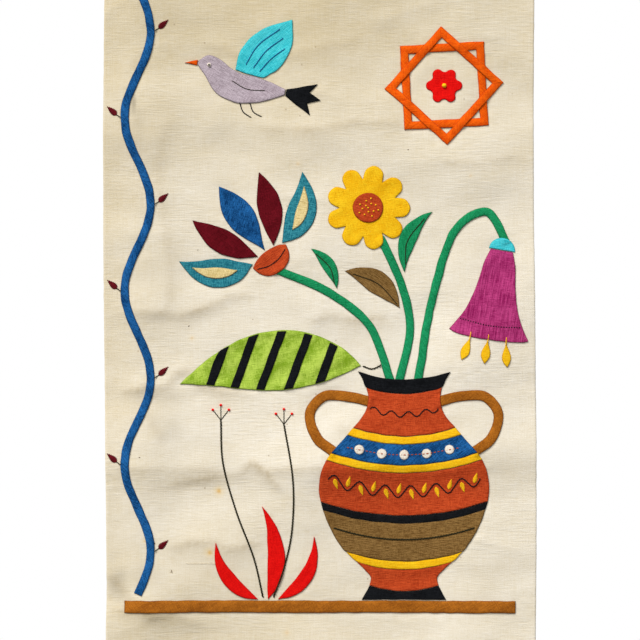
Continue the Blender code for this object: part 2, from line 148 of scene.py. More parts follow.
# %% Floor
FLOOR_Z = -0.98
FLOOR_HALF = 1.6
FLOOR_FORWARD = -0.3
PALE = (0.9, 0.9, 0.89, 1.0)

floor_bm = bmesh.new()
bmesh.ops.create_grid(floor_bm, x_segments=1, y_segments=1, size=FLOOR_HALF)
bmesh.ops.translate(floor_bm, verts=floor_bm.verts, vec=(0.0, FLOOR_FORWARD, FLOOR_Z))
floor_mesh = bpy.data.meshes.new("floor")
floor_bm.to_mesh(floor_mesh)
floor_bm.free()
floor = bpy.data.objects.new("floor", floor_mesh)
bpy.context.scene.collection.objects.link(floor)
floor_paint = bpy.data.materials.new("floor_paint")
floor_paint.use_nodes = True
floor_shader = floor_paint.node_tree.nodes["Principled BSDF"]
floor_shader.inputs["Base Color"].default_value = PALE
floor_shader.inputs["Roughness"].default_value = 0.6
floor_mesh.materials.append(floor_paint)
floor.visible_diffuse = False
print("floor, m below the top edge:", -FLOOR_Z)

# %% [markdown]
# ## How the cloth lies
#
# Everything is sewn to the canvas, so everything follows its folds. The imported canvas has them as
# straight-sided ridges. A Shrinkwrap modifier could lay one mesh on them, but the canvas, the
# patches and every stitch need the same folds, so they are read into a table. Each value comes from
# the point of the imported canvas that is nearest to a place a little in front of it. The table is
# then blurred, because cloth turns gently.


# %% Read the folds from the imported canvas
def merged_copy(node):
    """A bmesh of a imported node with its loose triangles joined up."""
    bm = bmesh.new()
    bm.from_mesh(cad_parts[node].data)
    bmesh.ops.remove_doubles(bm, verts=bm.verts, dist=1e-5)
    return bm


TABLE_STEP = 1.5
BLUR_PASSES = 72
INSIDE_EDGE = 3.0
IN_FRONT = 13.0

canvas_low, canvas_high = (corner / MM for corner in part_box("ground"))
table_xs = np.arange(canvas_low.x - TABLE_STEP, canvas_high.x + 2 * TABLE_STEP, TABLE_STEP)
table_zs = np.arange(canvas_low.z - TABLE_STEP, canvas_high.z + 2 * TABLE_STEP, TABLE_STEP)
packed_canvas = merged_copy("ground")
canvas_tree = BVHTree.FromBMesh(packed_canvas)
packed_canvas.free()


def front_of_packed_canvas(x, z):
    """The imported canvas's distance off the wall at a point, held just inside its edge."""
    x = min(max(x, canvas_low.x + INSIDE_EDGE), canvas_high.x - INSIDE_EDGE)
    z = min(max(z, canvas_low.z + INSIDE_EDGE), canvas_high.z - INSIDE_EDGE)
    return -canvas_tree.find_nearest(Vector((x * MM, -IN_FRONT * MM, z * MM)))[0].y / MM


def tabled(read):
    """A function of x and z read at every point of the table."""
    return np.array([[read(x, z) for x in table_xs] for z in table_zs])


def blurred(table, passes):
    """The table with every value shared out among its neighbours, as many times as passes."""
    for _ in range(passes):
        wide = np.pad(table, 1, mode="edge")
        wide = (wide[:-2] + 2 * wide[1:-1] + wide[2:]) / 4
        table = (wide[:, :-2] + 2 * wide[:, 1:-1] + wide[:, 2:]) / 4
    return table


lie_table = blurred(tabled(front_of_packed_canvas), BLUR_PASSES)
print("canvas stands off the wall, mm:", lie_table.min().round(2), "to", lie_table.max().round(2))

# %% [markdown]
# Creases, outlines and embroidered lines all run smoothly through a few given points. Curve objects
# could carry them, but plain lists of points are easier to measure and to step along. So the
# helpers lay a Bezier curve through the points and then cut it into equal steps.


# %% Smooth lines
CURVE_POINTS = 9


def smooth_step(t):
    """0 below 0, 1 above 1, and an easy turn between. It takes a number or an array."""
    t = np.clip(t, 0.0, 1.0)
    return t * t * (3 - 2 * t)


def curve_through(run):
    """Close points on a smooth curve through the points of a run."""
    close = [run[0]]
    for i in range(len(run) - 1):
        here, there = run[i], run[i + 1]
        span = (there - here).length / 3
        leave = (there - run[max(i - 1, 0)]).normalized() * span
        reach = (run[min(i + 2, len(run) - 1)] - here).normalized() * span
        close += interpolate_bezier(here, here + leave, there - reach, there, CURVE_POINTS)[1:]
    return close


def even_steps(run, step, multiple=1):
    """The run cut into equal steps, a whole multiple of them, without its last point."""
    lengths = np.concatenate([[0.0], np.cumsum([(b - a).length for a, b in zip(run, run[1:])])])
    count = multiple * max(1, round(lengths[-1] / (step * multiple)))
    marks = np.linspace(0.0, lengths[-1], count + 1)[:-1]
    xs = np.interp(marks, lengths, [point.x for point in run])
    zs = np.interp(marks, lengths, [point.y for point in run])
    return list(zip(xs, zs))


bent_line = [Vector((0.0, 0.0)), Vector((3.0, 4.0)), Vector((9.0, 4.0))]
print("steps of 1 mm along a bent line of 11 mm:", len(even_steps(curve_through(bent_line), 1.0)))

# %% [markdown]
# ## Creases
#
# The finer creases are too sharp for the imported model. The hanging was stored folded, which left
# one long crease low down with a kink in it, and shorter ones elsewhere. They could be sculpted, or
# come from a cloth simulation, but a short list of lines gives the same creases each time and lets
# each be moved by itself. Each is a wavering line with a steep side and a long side, and it dies
# away at its ends. A second table says how much dust and painted shade lies along it, reaching
# further below the crest, on its shaded side, than above it.

# %% Creases
CREASES = (
    # height, reach above, reach below, then the points it runs through from left to right
    (1.10, 30.0, 8.0, ((-214, -538), (-170, -538), (-120, -529), (-80, -521), (-67, -514), (-52, -522),
                       (-20, -518), (25, -520), (80, -515), (128, -521), (214, -514))),
    (0.90, 5.0, 6.0, ((-73, -510), (-66, -513), (-56, -522), (-44, -533), (-36, -546))),
    (0.55, 16.0, 7.0, ((-205, -517), (-160, -520), (-110, -519), (-84, -522))),
    (1.45, 24.0, 9.0, ((-218, -369), (-175, -361), (-140, -365), (-118, -359), (-82, -345), (-52, -348))),
    (1.50, 18.0, 8.0, ((-212, -444), (-180, -439), (-156, -436), (-144, -424), (-134, -420),
                       (-124, -430), (-104, -438), (-62, -443))),
    (0.80, 9.0, 8.0, ((-178, -450), (-171, -464), (-160, -484), (-150, -490))),
    (1.10, 20.0, 11.0, ((-20, -374), (12, -366), (40, -370), (76, -364))),
    (1.20, 16.0, 15.0, ((-160, -604), (-120, -590), (-88, -598), (-50, -588))),
    (1.65, 15.0, 10.0, ((-216, -618), (-200, -634), (-184, -652), (-160, -674))),
    (1.40, 12.0, 9.0, ((-216, -655), (-190, -662), (-150, -664), (-108, -678))),
    (0.45, 5.0, 3.0, ((-80, -145), (-30, -142), (16, -141))),
    (0.70, 24.0, 16.0, ((-158, -382), (-150, -330), (-156, -270), (-162, -215), (-146, -150))),
    (0.90, 22.0, 13.0, ((-80, -176), (-10, -180), (46, -172), (106, -178))),
    (0.80, 12.0, 10.0, ((110, -206), (150, -214), (190, -208), (216, -214))),
    (0.80, 9.0, 8.0, ((14, -462), (34, -500), (58, -566))),
    (0.85, 24.0, 12.0, ((-130, -92), (-60, -106), (0, -98), (60, -84))),
)
print("creases:", len(CREASES))

# %% [markdown]
# To raise a crease, every point of the table near it has to know how far away it is and on which
# side. A tree could find that for one point at a time, as it will for the seams, but numpy can ask
# for all of them at once, and the table is large.


# %% Crease tables
CREST_RADIUS = 0.8
# dust and painted shade along a crease: how far it reaches above and below the crest, in mm
DUST_SHADE_ABOVE, DUST_SHADE_BELOW = 2.6, 5.5
MOST_DUST_SHADE = 1.2
WAVER, WAVER_SIZE = 2.2, 11.0
USUAL, UNEVEN, UNEVEN_SIZE = 0.8, 0.5, 26.0
FADE_IN = 5
FALL_POWER, FALL_RATE = 1.2, 1.6
FELT_TO = 2.5


def crease_tables(height, reach_up, reach_down, points):
    """What one crease adds to the height, and to the dust and painted shade along it, over the whole
    table.
    """
    line = np.array(even_steps(curve_through([Vector(point) for point in points]), TABLE_STEP))
    ways = np.gradient(line, axis=0)
    ways /= np.linalg.norm(ways, axis=1, keepdims=True)
    along = np.linspace(0.0, 1.0, len(line))
    waver = [noise.noise(Vector((x / WAVER_SIZE, z / WAVER_SIZE, height))) for x, z in line]
    line[:, 1] += np.array(waver) * WAVER
    strength = smooth_step(FADE_IN * along) * smooth_step(FADE_IN * (1 - along))
    strength *= [USUAL + UNEVEN * noise.noise(Vector((x / UNEVEN_SIZE, z / UNEVEN_SIZE, -height)))
                 for x, z in line]
    reach = FELT_TO * max(reach_up, reach_down)
    columns = np.flatnonzero((table_xs > line[:, 0].min() - reach) & (table_xs < line[:, 0].max() + reach))
    rows = np.flatnonzero((table_zs > line[:, 1].min() - reach) & (table_zs < line[:, 1].max() + reach))
    xs, zs = np.meshgrid(table_xs[columns], table_zs[rows])
    offs = np.stack([xs, zs], axis=-1)[:, :, None] - line
    nearest = (offs**2).sum(-1).argmin(-1)
    off = np.take_along_axis(offs, nearest[:, :, None, None], 2)[:, :, 0]
    way = ways[nearest]
    above = way[..., 0] * off[..., 1] - way[..., 1] * off[..., 0]
    away = np.hypot(np.hypot(off[..., 0], off[..., 1]), CREST_RADIUS) - CREST_RADIUS
    fall = np.exp(-((away / np.where(above > 0, reach_up, reach_down)) ** FALL_POWER) * FALL_RATE)
    dust_and_shade = np.exp(-((away / np.where(above > 0, DUST_SHADE_ABOVE, DUST_SHADE_BELOW)) ** FALL_POWER))
    dust_and_shade *= min(height, MOST_DUST_SHADE)
    added = np.zeros((2, *lie_table.shape))
    added[:, rows[0]:rows[-1] + 1, columns[0]:columns[-1] + 1] = strength[nearest] * (height * fall, dust_and_shade)
    return added


# the second table is the dust and painted shade along the creases
crease_heights, crease_dust_shade_table = sum(crease_tables(*crease) for crease in CREASES)
lie_table += blurred(crease_heights, 1)
crease_dust_shade_table = blurred(crease_dust_shade_table, 1)
print("highest crease, mm:", crease_heights.max().round(2), "most soiling:", crease_dust_shade_table.max().round(2))

# %% [markdown]
# ## Humps and puckers
#
# Between the creases the canvas isn't flat either. It has low humps and hollows of several sizes,
# wider than they are high, and here and there a long faint pucker. A Displace modifier could add
# them to a mesh, but they belong in the table, where the patches and stitches find them too. A
# pucker's crest is where noise passes through zero, and it wavers if the place where the noise is
# read is itself moved about. After this, lie(x, z) says how far the front of the canvas stands off
# the wall at any point, in millimetres.

# %% Humps and puckers
HUMPS = (
    # along, across, height: in millimetres
    (130.0, 85.0, 2.6),
    (58.0, 34.0, 0.95),
    (26.0, 17.0, 0.26),
    (11.0, 8.0, 0.05),
)
PUCKER_ALONG, PUCKER_ACROSS, PUCKER_HEIGHT = 120.0, 60.0, 0.65
MOVED_SIZE, MOVED_ALONG, MOVED_ACROSS = 70.0, 0.35, 0.60
WHERE_SIZE = 80.0
PUCKER_SHARP, PUCKER_POWER = 2.6, 1.6


def hump_height(x, z):
    """What the humps and the puckers add at a point."""
    total = sum(height * noise.noise(Vector((x / along, z / across, along)))
                for along, across, height in HUMPS)
    moved = x / MOVED_SIZE, z / MOVED_SIZE
    moved_x = x / PUCKER_ALONG + MOVED_ALONG * noise.noise(Vector((*moved, 1.7)))
    moved_z = z / PUCKER_ACROSS + MOVED_ACROSS * noise.noise(Vector((*moved, 6.1)))
    folded = abs(noise.noise(Vector((moved_x, moved_z, 2.4))))
    where = smooth_step(0.4 + 1.6 * noise.noise(Vector((x / WHERE_SIZE, z / WHERE_SIZE, 4.5))))
    return total + PUCKER_HEIGHT * where * (1.0 - min(PUCKER_SHARP * folded, 1.0)) ** PUCKER_POWER


lie_table += tabled(hump_height)


def read_table(table, x, z):
    """What a table says at a point between its rows and columns."""
    column = min(max((x - table_xs[0]) / TABLE_STEP, 0.0), len(table_xs) - 1.001)
    row = min(max((z - table_zs[0]) / TABLE_STEP, 0.0), len(table_zs) - 1.001)
    i, j = int(row), int(column)
    up, over = row - i, column - j
    low = table[i, j] * (1 - over) + table[i, j + 1] * over
    high = table[i + 1, j] * (1 - over) + table[i + 1, j + 1] * over
    return low * (1 - up) + high * up


def lie(x, z):
    """How far the front of the canvas stands off the wall, in millimetres."""
    return read_table(lie_table, x, z)


print("canvas front with its creases, mm:", lie_table.min().round(2), "to", lie_table.max().round(2))

# %% [markdown]
# ## Outlines of the patches
#
# A maker draws each patch round a card template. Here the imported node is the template: its outline
# could be typed in again, but walking round the front of the node keeps the two models alike.

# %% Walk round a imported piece
FACES_FRONT = -0.7
CORNER_TURN = math.radians(50.0)


def walks(node):
    """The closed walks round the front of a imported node, cloth on the left, longest first."""
    bm = merged_copy(node)
    front = dict.fromkeys(face for face in bm.faces if face.normal.y < FACES_FRONT)
    ahead = {}
    for face in front:
        for corner in face.loops:
            if sum(other in front for other in corner.edge.link_faces) == 1:
                ahead[corner.vert] = corner.link_loop_next.vert
    found = []
    while ahead:
        vert = next(iter(ahead))
        walk = []
        while vert in ahead:
            walk.append(Vector((vert.co.x / MM, vert.co.z / MM)))
            vert = ahead.pop(vert)
        found.append(walk)
    bm.free()
    return sorted(found, key=len, reverse=True)


def turn_at(walk, i):
    """How far the walk turns at a point, in radians."""
    return abs((walk[i] - walk[i - 1]).angle_signed(walk[(i + 1) % len(walk)] - walk[i], 0.0))


bell_walk = walks("bell")[0]
print("points round the packed bell:", len(bell_walk), "and its corners:",
      sum(turn_at(bell_walk, i) > CORNER_TURN for i in range(len(bell_walk))))

# %% [markdown]
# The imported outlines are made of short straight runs, which would show as facets. Smoothing them
# all round would lose their corners, so those are kept, and a smooth curve is laid through the
# points between them. The curve is then stepped evenly, three steps to a stitch, since the stitches
# will set the rhythm of the edge. The tapes that meet another piece run on a little way under it,
# as a maker tucks them in.

# %% Smooth and step an outline
PITCH = 3.7
STEPS_A_STITCH = 3
STRAIGHT_TURN = math.radians(0.8)
OVERLAP = 2


def run_on(walk, tucked):
    """A tape's outline with its lower and its upper end moved out, by two lengths in millimetres."""
    middle = sum(point.y for point in walk) / len(walk)
    moved = [point.copy() for point in walk]
    for i, here in enumerate(walk):
        j = (i + 1) % len(walk)
        if min(turn_at(walk, i), turn_at(walk, j)) > CORNER_TURN:
            across = walk[j] - here
            out = Vector((across.y, -across.x)).normalized() * tucked[here.y > middle]
            moved[i] += out
            moved[j] += out
    return moved


def smooth_outline(walk, tucked=None):
    """The stepped outline, and the places in it of its corners."""
    bends = [i for i in range(len(walk)) if turn_at(walk, i) > STRAIGHT_TURN]
    walk = [walk[i] for i in bends]
    if tucked:
        walk = run_on(walk, tucked)
    corners = [i for i in range(len(walk)) if turn_at(walk, i) > CORNER_TURN]
    if not corners:
        close = curve_through(walk[-OVERLAP:] + walk + walk[:OVERLAP + 1])
        extra = OVERLAP * CURVE_POINTS
        return even_steps(close[extra:-extra], PITCH / STEPS_A_STITCH, STEPS_A_STITCH), []
    points, places = [], []
    for here, there in zip(corners, corners[1:] + [corners[0] + len(walk)]):
        run = [walk[i % len(walk)] for i in range(here, there + 1)]
        places.append(len(points))
        points += even_steps(curve_through(run), PITCH / STEPS_A_STITCH, STEPS_A_STITCH)
    return points, places


print("the bell's stepped outline has", len(smooth_outline(bell_walk)[0]), "points")

# %% [markdown]
# ## An edge turned under by hand
#
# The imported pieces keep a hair's breadth apart, so each outline is first let out until neighbours
# meet. No hand sews a perfect line, so it then strays by a few tenths of a millimetre. Each piece
# could have a noise of its own, but neighbours would part, so one noise moves them all together.
# Blender starts its vector noise from the time of day, so it is given a seed, or no two runs would
# be alike. Last, the stitches pull the edge in, which makes a shallow scallop.

# %% Scalloped outlines
CLOSE_UP = 0.13
STRAY, STRAY_SIZE, STRAY_SEED = 0.55, 12.0, 5
PULL_IN = 0.16

noise.seed_set(STRAY_SEED)


def inward_of(loop):
    """The inward direction at every point of an outline."""
    along = np.roll(loop, -1, axis=0) - np.roll(loop, 1, axis=0)
    inward = np.stack([-along[:, 1], along[:, 0]], axis=1)
    return inward / np.linalg.norm(inward, axis=1, keepdims=True)


def scalloped(loop, corners):
    """The outline with every stitch pulling it in a little, but not at the corners."""
    inward = inward_of(loop)
    stray = [noise.noise_vector(Vector((x / STRAY_SIZE, z / STRAY_SIZE, 0.0))) for x, z in loop]
    pulled = loop - inward * CLOSE_UP + STRAY * np.array(stray)[:, :2]
    for i in range(1, len(loop), STEPS_A_STITCH):
        if i not in corners:
            pulled[i] += inward[i] * PULL_IN
    return pulled


def tree_of(points):
    """A tree that finds the nearest of many points on the cloth."""
    tree = KDTree(len(points))
    for i, (x, z) in enumerate(points):
        tree.insert((x, z, 0.0), i)
    tree.balance()
    return tree


print("a stitch pulls an edge in by", PULL_IN, "mm, and the most an edge strays is near", STRAY, "mm")

# %% [markdown]
# ## A patch, as numbers
#
# A turned edge rises steeply in a quarter round, runs level over the allowance folded under it,
# and then drops a little where only one layer of cloth is left. Solidify and Bevel modifiers give
# an even edge but not that step, so the height of a patch is worked out from how deep inside the
# outline a point is. A patch that lies on another also follows the one below, and rides up gently
# onto it where it crosses its edge. A tape is folded into three or four layers, so it is also domed.

# %% A patch
RIM = 0.95
CLOTH = 0.85
ALLOWANCE_FROM, ALLOWANCE_TO, ALLOWANCE_DROP = 4.4, 7.0, 0.26
REST = 0.10
DOME, DOME_WIDE = 0.50, 4.0
RIDE_UP, RIDE_FROM = 2.6, 1.5
RUFFLE_STARTS = 3.0


class Patch:
    """One sewn-on piece: where it lies, and how high it stands off the canvas."""

    def __init__(self, node, lies, below, tucked, dome):
        """Traces the node, given its row of LIES, what it lies on, its run-on ends and its dome."""
        self.node, self.below, self.dome = node, below, dome
        self.grain, self.ruffle, self.ruffle_size = lies
        outlines = [smooth_outline(walk, tucked) for walk in walks(node)]
        self.corners = [corners for _, corners in outlines]
        self.loops = [scalloped(np.array(points), corners) for points, corners in outlines]
        self.tree = tree_of(np.concatenate(self.loops))
        self.low, self.high = self.loops[0].min(0), self.loops[0].max(0)

    def inside(self, x, z):
        """Whether a point lies within the outline."""
        if not (self.low[0] < x < self.high[0] and self.low[1] < z < self.high[1]):
            return False
        crossed = 0
        for loop in self.loops:
            x0, z0 = loop.T
            x1, z1 = np.roll(loop, -1, axis=0).T
            spans = (z0 > z) != (z1 > z)
            rise = np.where(spans, z1 - z0, 1.0)
            crossed += np.count_nonzero(spans & (x0 + (z - z0) / rise * (x1 - x0) > x))
        return crossed % 2 == 1

    def depth(self, x, z):
        """How deep inside the outline a point is, and negative outside it."""
        away = self.tree.find((x, z, 0.0))[2]
        return away if self.inside(x, z) else -away

    def bed(self, x, z):
        """How high above the canvas the patch is laid: 0, or on what lies below it."""
        height = 0.0
        for other in self.below:
            depth = other.depth(x, z)
            if depth > -RIDE_UP:
                up = smooth_step((depth + RIDE_UP) / (RIDE_UP + 1.0))
                height = max(height, other.face(x, z, max(depth, RIDE_FROM)) * up)
        return height

    def face(self, x, z, depth):
        """The height of the patch's face above the canvas, at a depth inside its outline."""
        rim = math.sqrt(1.0 - (1.0 - min(depth / RIM, 1.0)) ** 2)
        drop = smooth_step((depth - ALLOWANCE_FROM) / (ALLOWANCE_TO - ALLOWANCE_FROM))
        spot = Vector((x / self.ruffle_size, z / self.ruffle_size * 0.7, self.grain))
        ruffle = self.ruffle * noise.noise(spot) * smooth_step(depth / RUFFLE_STARTS)
        dome = self.dome * (1.0 - (1.0 - min(depth / DOME_WIDE, 1.0)) ** 2)
        return self.bed(x, z) + REST + CLOTH * rim + dome - ALLOWANCE_DROP * drop + ruffle


print("a patch stands off the cloth below it by", round(REST + CLOTH, 2), "mm, and a tape by",
      round(REST + CLOTH + DOME, 2))

# %% [markdown]
# ## Which cloth each piece is cut from
#
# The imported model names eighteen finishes: the canvas, and the seventeen dyed cottons that the
# maker cut up. Each cotton is listed here with the pieces cut from it. The names could be read from
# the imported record, but written out they are the cutting list that a maker would pin up.

# %% Pieces by cloth
CUT_FROM = {
    "yellow": ("vase_low_band", "vase_collar_low", "vase_collar_high", "daisy",
               "stamen_left", "stamen_middle", "stamen_right"),
    "terracotta": ("vase_base", "vase_body", "vase_neck", "palmette_calyx", "daisy_centre"),
    "blue": ("vine", "vase_collar", "petal_centre"),
    "white": tuple(f"vase_disc_{i}" for i in range(1, 6)),
    "black": ("vase_foot", "vase_waist_band", "vase_rim", "bird_tail",
              *(f"lime_vein_{i}" for i in range(1, 6))),
    "olive": ("vase_belly", "leaf_middle"),
    "ochre": ("shelf", "vase_handle_left", "vase_handle_right"),
    "green": ("stem_left", "stem_middle", "stem_right", "leaf_upper", "leaf_left"),
    "lime": ("lime_leaf",),
    "teal": ("petal_outer_left", "petal_outer_right"),
    "burgundy": ("petal_inner_left", "petal_inner_right"),
    "cream": ("inlay_outer_left", "inlay_outer_right"),
    "magenta": ("bell",),
    "orange": ("star_frame_under", "star_frame_over", "bird_beak"),
    "lilac": ("bird_body",),
    "turquoise": ("bird_wing", "bell_cap"),
    "red": ("star_rosette", "tuft_left", "tuft_middle", "tuft_right"),
}
cloth_of = {node: cloth for cloth, nodes in CUT_FROM.items() for node in nodes}
print("cottons:", len(CUT_FROM), "and pieces cut from them:", len(cloth_of))

# %% [markdown]
# Not every piece is laid straight and sewn down tight. The next table has the turn of each one's
# weave in degrees, how far its face rises and falls in millimetres, and how wide those ruffles are.
# Random values would do for most, but the big leaf has to be the most wrinkled and the petals'
# weave has to fan out with them.

# %% How each piece lies
LEVEL = (0.0, 0.16, 11.0)
LIES = {
    "lime_leaf": (8.0, 0.95, 10.0),
    "vine": (0.0, 0.42, 6.5),
    "vase_belly": (0.0, 0.24, 15.0),
    "vase_body": (-2.0, 0.20, 16.0),
    "vase_neck": (3.0, 0.20, 12.0),
    "vase_base": (2.0, 0.18, 12.0),
    "bell": (-9.0, 0.22, 13.0),
    "bird_body": (-52.0, 0.26, 12.0),
    "bird_wing": (40.0, 0.30, 10.0),
    "petal_outer_left": (86.0, 0.20, 10.0),
    "petal_outer_right": (-14.0, 0.20, 10.0),
    "petal_inner_left": (48.0, 0.22, 9.0),
    "petal_inner_right": (14.0, 0.22, 9.0),
    "petal_centre": (36.0, 0.22, 10.0),
    "palmette_calyx": (36.0, 0.16, 9.0),
    "inlay_outer_left": (80.0, 0.16, 9.0),
    "inlay_outer_right": (-8.0, 0.16, 9.0),
    "daisy": (12.0, 0.24, 10.0),
    "daisy_centre": (-20.0, 0.20, 9.0),
    "leaf_middle": (-34.0, 0.20, 9.0),
    "leaf_upper": (62.0, 0.18, 9.0),
    "tuft_left": (-52.0, 0.22, 9.0),
    "tuft_middle": (-86.0, 0.22, 9.0),
    "tuft_right": (58.0, 0.22, 9.0),
    "star_rosette": (3.0, 0.20, 8.0),
}
print("pieces with a lie of their own:", len(LIES))

# %% [markdown]
# Some pieces are folded tape, given here with its width in millimetres. A frame is made of four
# tapes, and its row also says how far the frame is turned, in degrees. A maker tucks a tape's end
# under its neighbour, so the lower and the upper end of some run on by so many millimetres. It
# could be left out, as nobody sees under the neighbour, but a butted end shows a line of canvas.

# %% Tapes
TAPES = {
    "vine": 8.0, "stem_left": 8.0, "stem_middle": 8.0, "stem_right": 8.0, "shelf": 12.0,
    "vase_handle_left": 10.0, "vase_handle_right": 10.0,
}
FRAMES = {
    "star_frame_under": (8.0, 3.0), "star_frame_over": (8.0, 48.0),
}
TUCKED = {
    "vase_handle_left": (7.0, 5.0), "vase_handle_right": (7.0, 5.0),
    "stem_left": (16.0, 8.0), "stem_middle": (14.0, 12.0), "stem_right": (14.0, 7.0),
}
print("tapes:", len(TAPES), "and frames of tape:", len(FRAMES))

# %% [markdown]
# The pieces are sewn down in an order: first those that lie straight on the canvas, then those that
# lie on others. The table gives the upper ones by the start of their names. Blender could find this
# by casting rays, but a maker knows it from the drawing.

# %% Lay the patches
LIES_ON = {
    "vase_neck": ("vase_handle_left", "vase_handle_right"),
    "vase_collar": ("vase_handle_left", "vase_handle_right"),
    "vase_rim": ("stem_left", "stem_middle", "stem_right"),
    "palmette_calyx": ("stem_left",),
    "daisy": ("stem_middle",),
    "bell_cap": ("stem_right",),
    "inlay_outer_left": ("petal_outer_left",),
    "inlay_outer_right": ("petal_outer_right",),
    "daisy_centre": ("daisy",),
    "lime_vein": ("lime_leaf",),
    "vase_disc": ("vase_collar",),
    "star_frame_over": ("star_frame_under",),
}

patches = {}
for node in sorted(cloth_of, key=lambda name: name.startswith(tuple(LIES_ON))):
    below = [patches[other] for top, others in LIES_ON.items() if node.startswith(top)
             for other in others if other in patches]
    dome = DOME if node in TAPES or node in FRAMES else 0.0
    patches[node] = Patch(node, LIES.get(node, LEVEL), below, TUCKED.get(node), dome)
print("patches:", len(patches), "of", len(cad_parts) - 1)

# %% [markdown]
# ## The shell of a patch
#
# The mesh of a patch starts as its outline, a ring of points. The ring is extruded inward twice to
# make the quarter round of the turned edge, and the last ring is filled with one face. A remesh
# would round off the tips of the petals, so cuts by a grid of planes give that face the points it
# needs to follow the folds. The underside is made the same way, with wider cells, because nobody
# sees it. In a narrow tip there is less room for the rings, so each point moves in only as far as
# the room around it allows.

# %% Rings and cuts
UNDERSIDE = 1.0
MOST_ROOM = 50.0
AHEAD = 1e-6


def room_of(loop, others):
    """How large a disc fits against the outline at every point, so that rings don't cross."""
    inward = inward_of(loop)
    room = np.full(len(loop), MOST_ROOM)
    for other in others:
        to = other[None] - loop[:, None]
        ahead = (to * inward[:, None]).sum(2)
        fits = (to**2).sum(2) / np.where(ahead > AHEAD, 2 * ahead, 1e-9)
        room = np.minimum(room, np.where(ahead > AHEAD, fits, MOST_ROOM).min(1))
    return room


def ring_edges(bm, ring):
    """The edges round a closed ring of points."""
    return [bm.edges.get((ring[i - 1], ring[i])) for i in range(len(ring))]


def extruded_ring(bm, ring, moves, side):
    """Extrudes a closed ring of points by a move for each, on a side (0 face, 1 underside)."""
    made = bmesh.ops.extrude_edge_only(bm, edges=ring_edges(bm, ring))["geom"]
    new = {item for item in made if isinstance(item, bmesh.types.BMVert)}
    inner = []
    for vert, move in zip(ring, moves):
        twin = next(edge.other_vert(vert) for edge in vert.link_edges if edge.other_vert(vert) in new)
        twin.co = Vector((vert.co.x + move[0] * MM, side * UNDERSIDE, vert.co.z + move[1] * MM))
        inner.append(twin)
    return inner


def cut_in_squares(bm, face, cell):
    """Cuts a flat face by upright and level planes, cell millimetres apart."""
    geometry = [face, *face.edges, *face.verts]
    cuts = []
    for axis, way in ((0, Vector((1.0, 0.0, 0.0))), (2, Vector((0.0, 0.0, 1.0)))):
        places = [vert.co[axis] / (cell * MM) for vert in face.verts]
        cuts += [(way * line * cell * MM, way)
                 for line in range(math.ceil(min(places)), math.ceil(max(places)))]
    for place, way in cuts:
        cut = bmesh.ops.bisect_plane(bm, geom=geometry, dist=1e-7, plane_co=place, plane_no=way)
        geometry = cut["geom"]


petal_room = room_of(patches["petal_centre"].loops[0], patches["petal_centre"].loops)
print("room in the blue petal, mm:", petal_room.min().round(2), "to", petal_room.max().round(2))

# %% [markdown]
# The shell is built flat and then laid on the cloth. It could be built on the folds at once, but
# Blender fills and cuts a flat face far more reliably. The rings of the face and those of the
# underside start from one outline, and the edges along it are marked sharp, which is what makes it
# look like a seam.

# %% Patch shells
CELL, UNDER_CELL = 2.4, 9.0
FIRST_RING, SECOND_RING = RIM * 0.30, RIM
FIRST_SHARE, SECOND_SHARE = 0.22, 0.60
UNDERSIDE_LIFT = 0.04
EDGE_WIDE = 8.0


def fill_rings(bm, rings, cell):
    """Fills one ring with a cut face, or joins an outer and an inner ring by a band."""
    if len(rings) == 1:
        face = bmesh.ops.contextual_create(bm, geom=ring_edges(bm, rings[0]))["faces"][0]
        cut_in_squares(bm, face, cell)
    else:
        bmesh.ops.bridge_loops(bm, edges=[e for ring in rings for e in ring_edges(bm, ring)])


def patch_shell(patch):
    """The closed shell of a patch: a face with a turned edge, and an underside."""
    bm = bmesh.new()
    faces, unders, seams = [], [], []
    for loop in patch.loops:
        inward = inward_of(loop)
        room = room_of(loop, patch.loops)
        ring = [bm.verts.new((x * MM, 0.0, z * MM)) for x, z in loop]
        for i in range(len(ring)):
            bm.edges.new((ring[i - 1], ring[i]))
        seams += ring_edges(bm, ring)
        first = np.minimum(FIRST_RING, room * FIRST_SHARE)[:, None] * inward
        second = np.minimum(SECOND_RING, room * SECOND_SHARE)[:, None] * inward - first
        faces.append(extruded_ring(bm, extruded_ring(bm, ring, first, 0), second, 0))
        unders.append(extruded_ring(bm, ring, first, 1))
    for edge in seams:
        edge.smooth = False
    fill_rings(bm, faces, CELL)
    fill_rings(bm, unders, UNDER_CELL)
    return bm


def raise_shell(bm, patch):
    """Lays the flat shell on the cloth, and marks how near every point is to the edge."""
    nearness = bm.verts.layers.float.new("edge")
    for vert in bm.verts:
        x, z = vert.co.x / MM, vert.co.z / MM
        depth = patch.tree.find((x, z, 0.0))[2]
        if vert.co.y > UNDERSIDE / 2:
            height = patch.bed(x, z) + UNDERSIDE_LIFT
        else:
            height = patch.face(x, z, depth)
        vert[nearness] = min(depth / EDGE_WIDE, 1.0)
        vert.co.y = -(lie(x, z) + height) * MM


trial = patch_shell(patches["daisy"])
print("the daisy's flat shell has", len(trial.faces), "faces")
trial.free()

# %% [markdown]
# ## Woven finishes
#
# Every cloth here is a plain cotton, so one recipe serves them all. A scanned cloth would be an
# image, which stretches and repeats, so the weave is made of noise. Drawn out along the threads, it
# gives uneven wefts and, across them, fainter warps. Broad noise gives the cloudy look of dyed
# cloth. The pattern reads each piece's own UV map, which runs with the weave and is laid out in
# metres.


# %% Shader node helpers
def linear(display):
    """A display colour from 0 to 255 as the linear colour that a shader takes."""
    parts = [value / 255 for value in display]
    return (*(((p + 0.055) / 1.055) ** 2.4 if p > 0.04 else p / 12.92 for p in parts), 1.0)


def add(tree, kind, sockets=None, **settings):
    """A shader node with its settings and sockets filled in, each socket by a value or a link."""
    made = tree.nodes.new("ShaderNode" + kind)
    for key, value in settings.items():
        setattr(made, key, value)
    for key, value in (sockets or {}).items():
        if isinstance(value, bpy.types.NodeSocket):
            tree.links.new(value, made.inputs[key])
        else:
            made.inputs[key].default_value = value
    return made


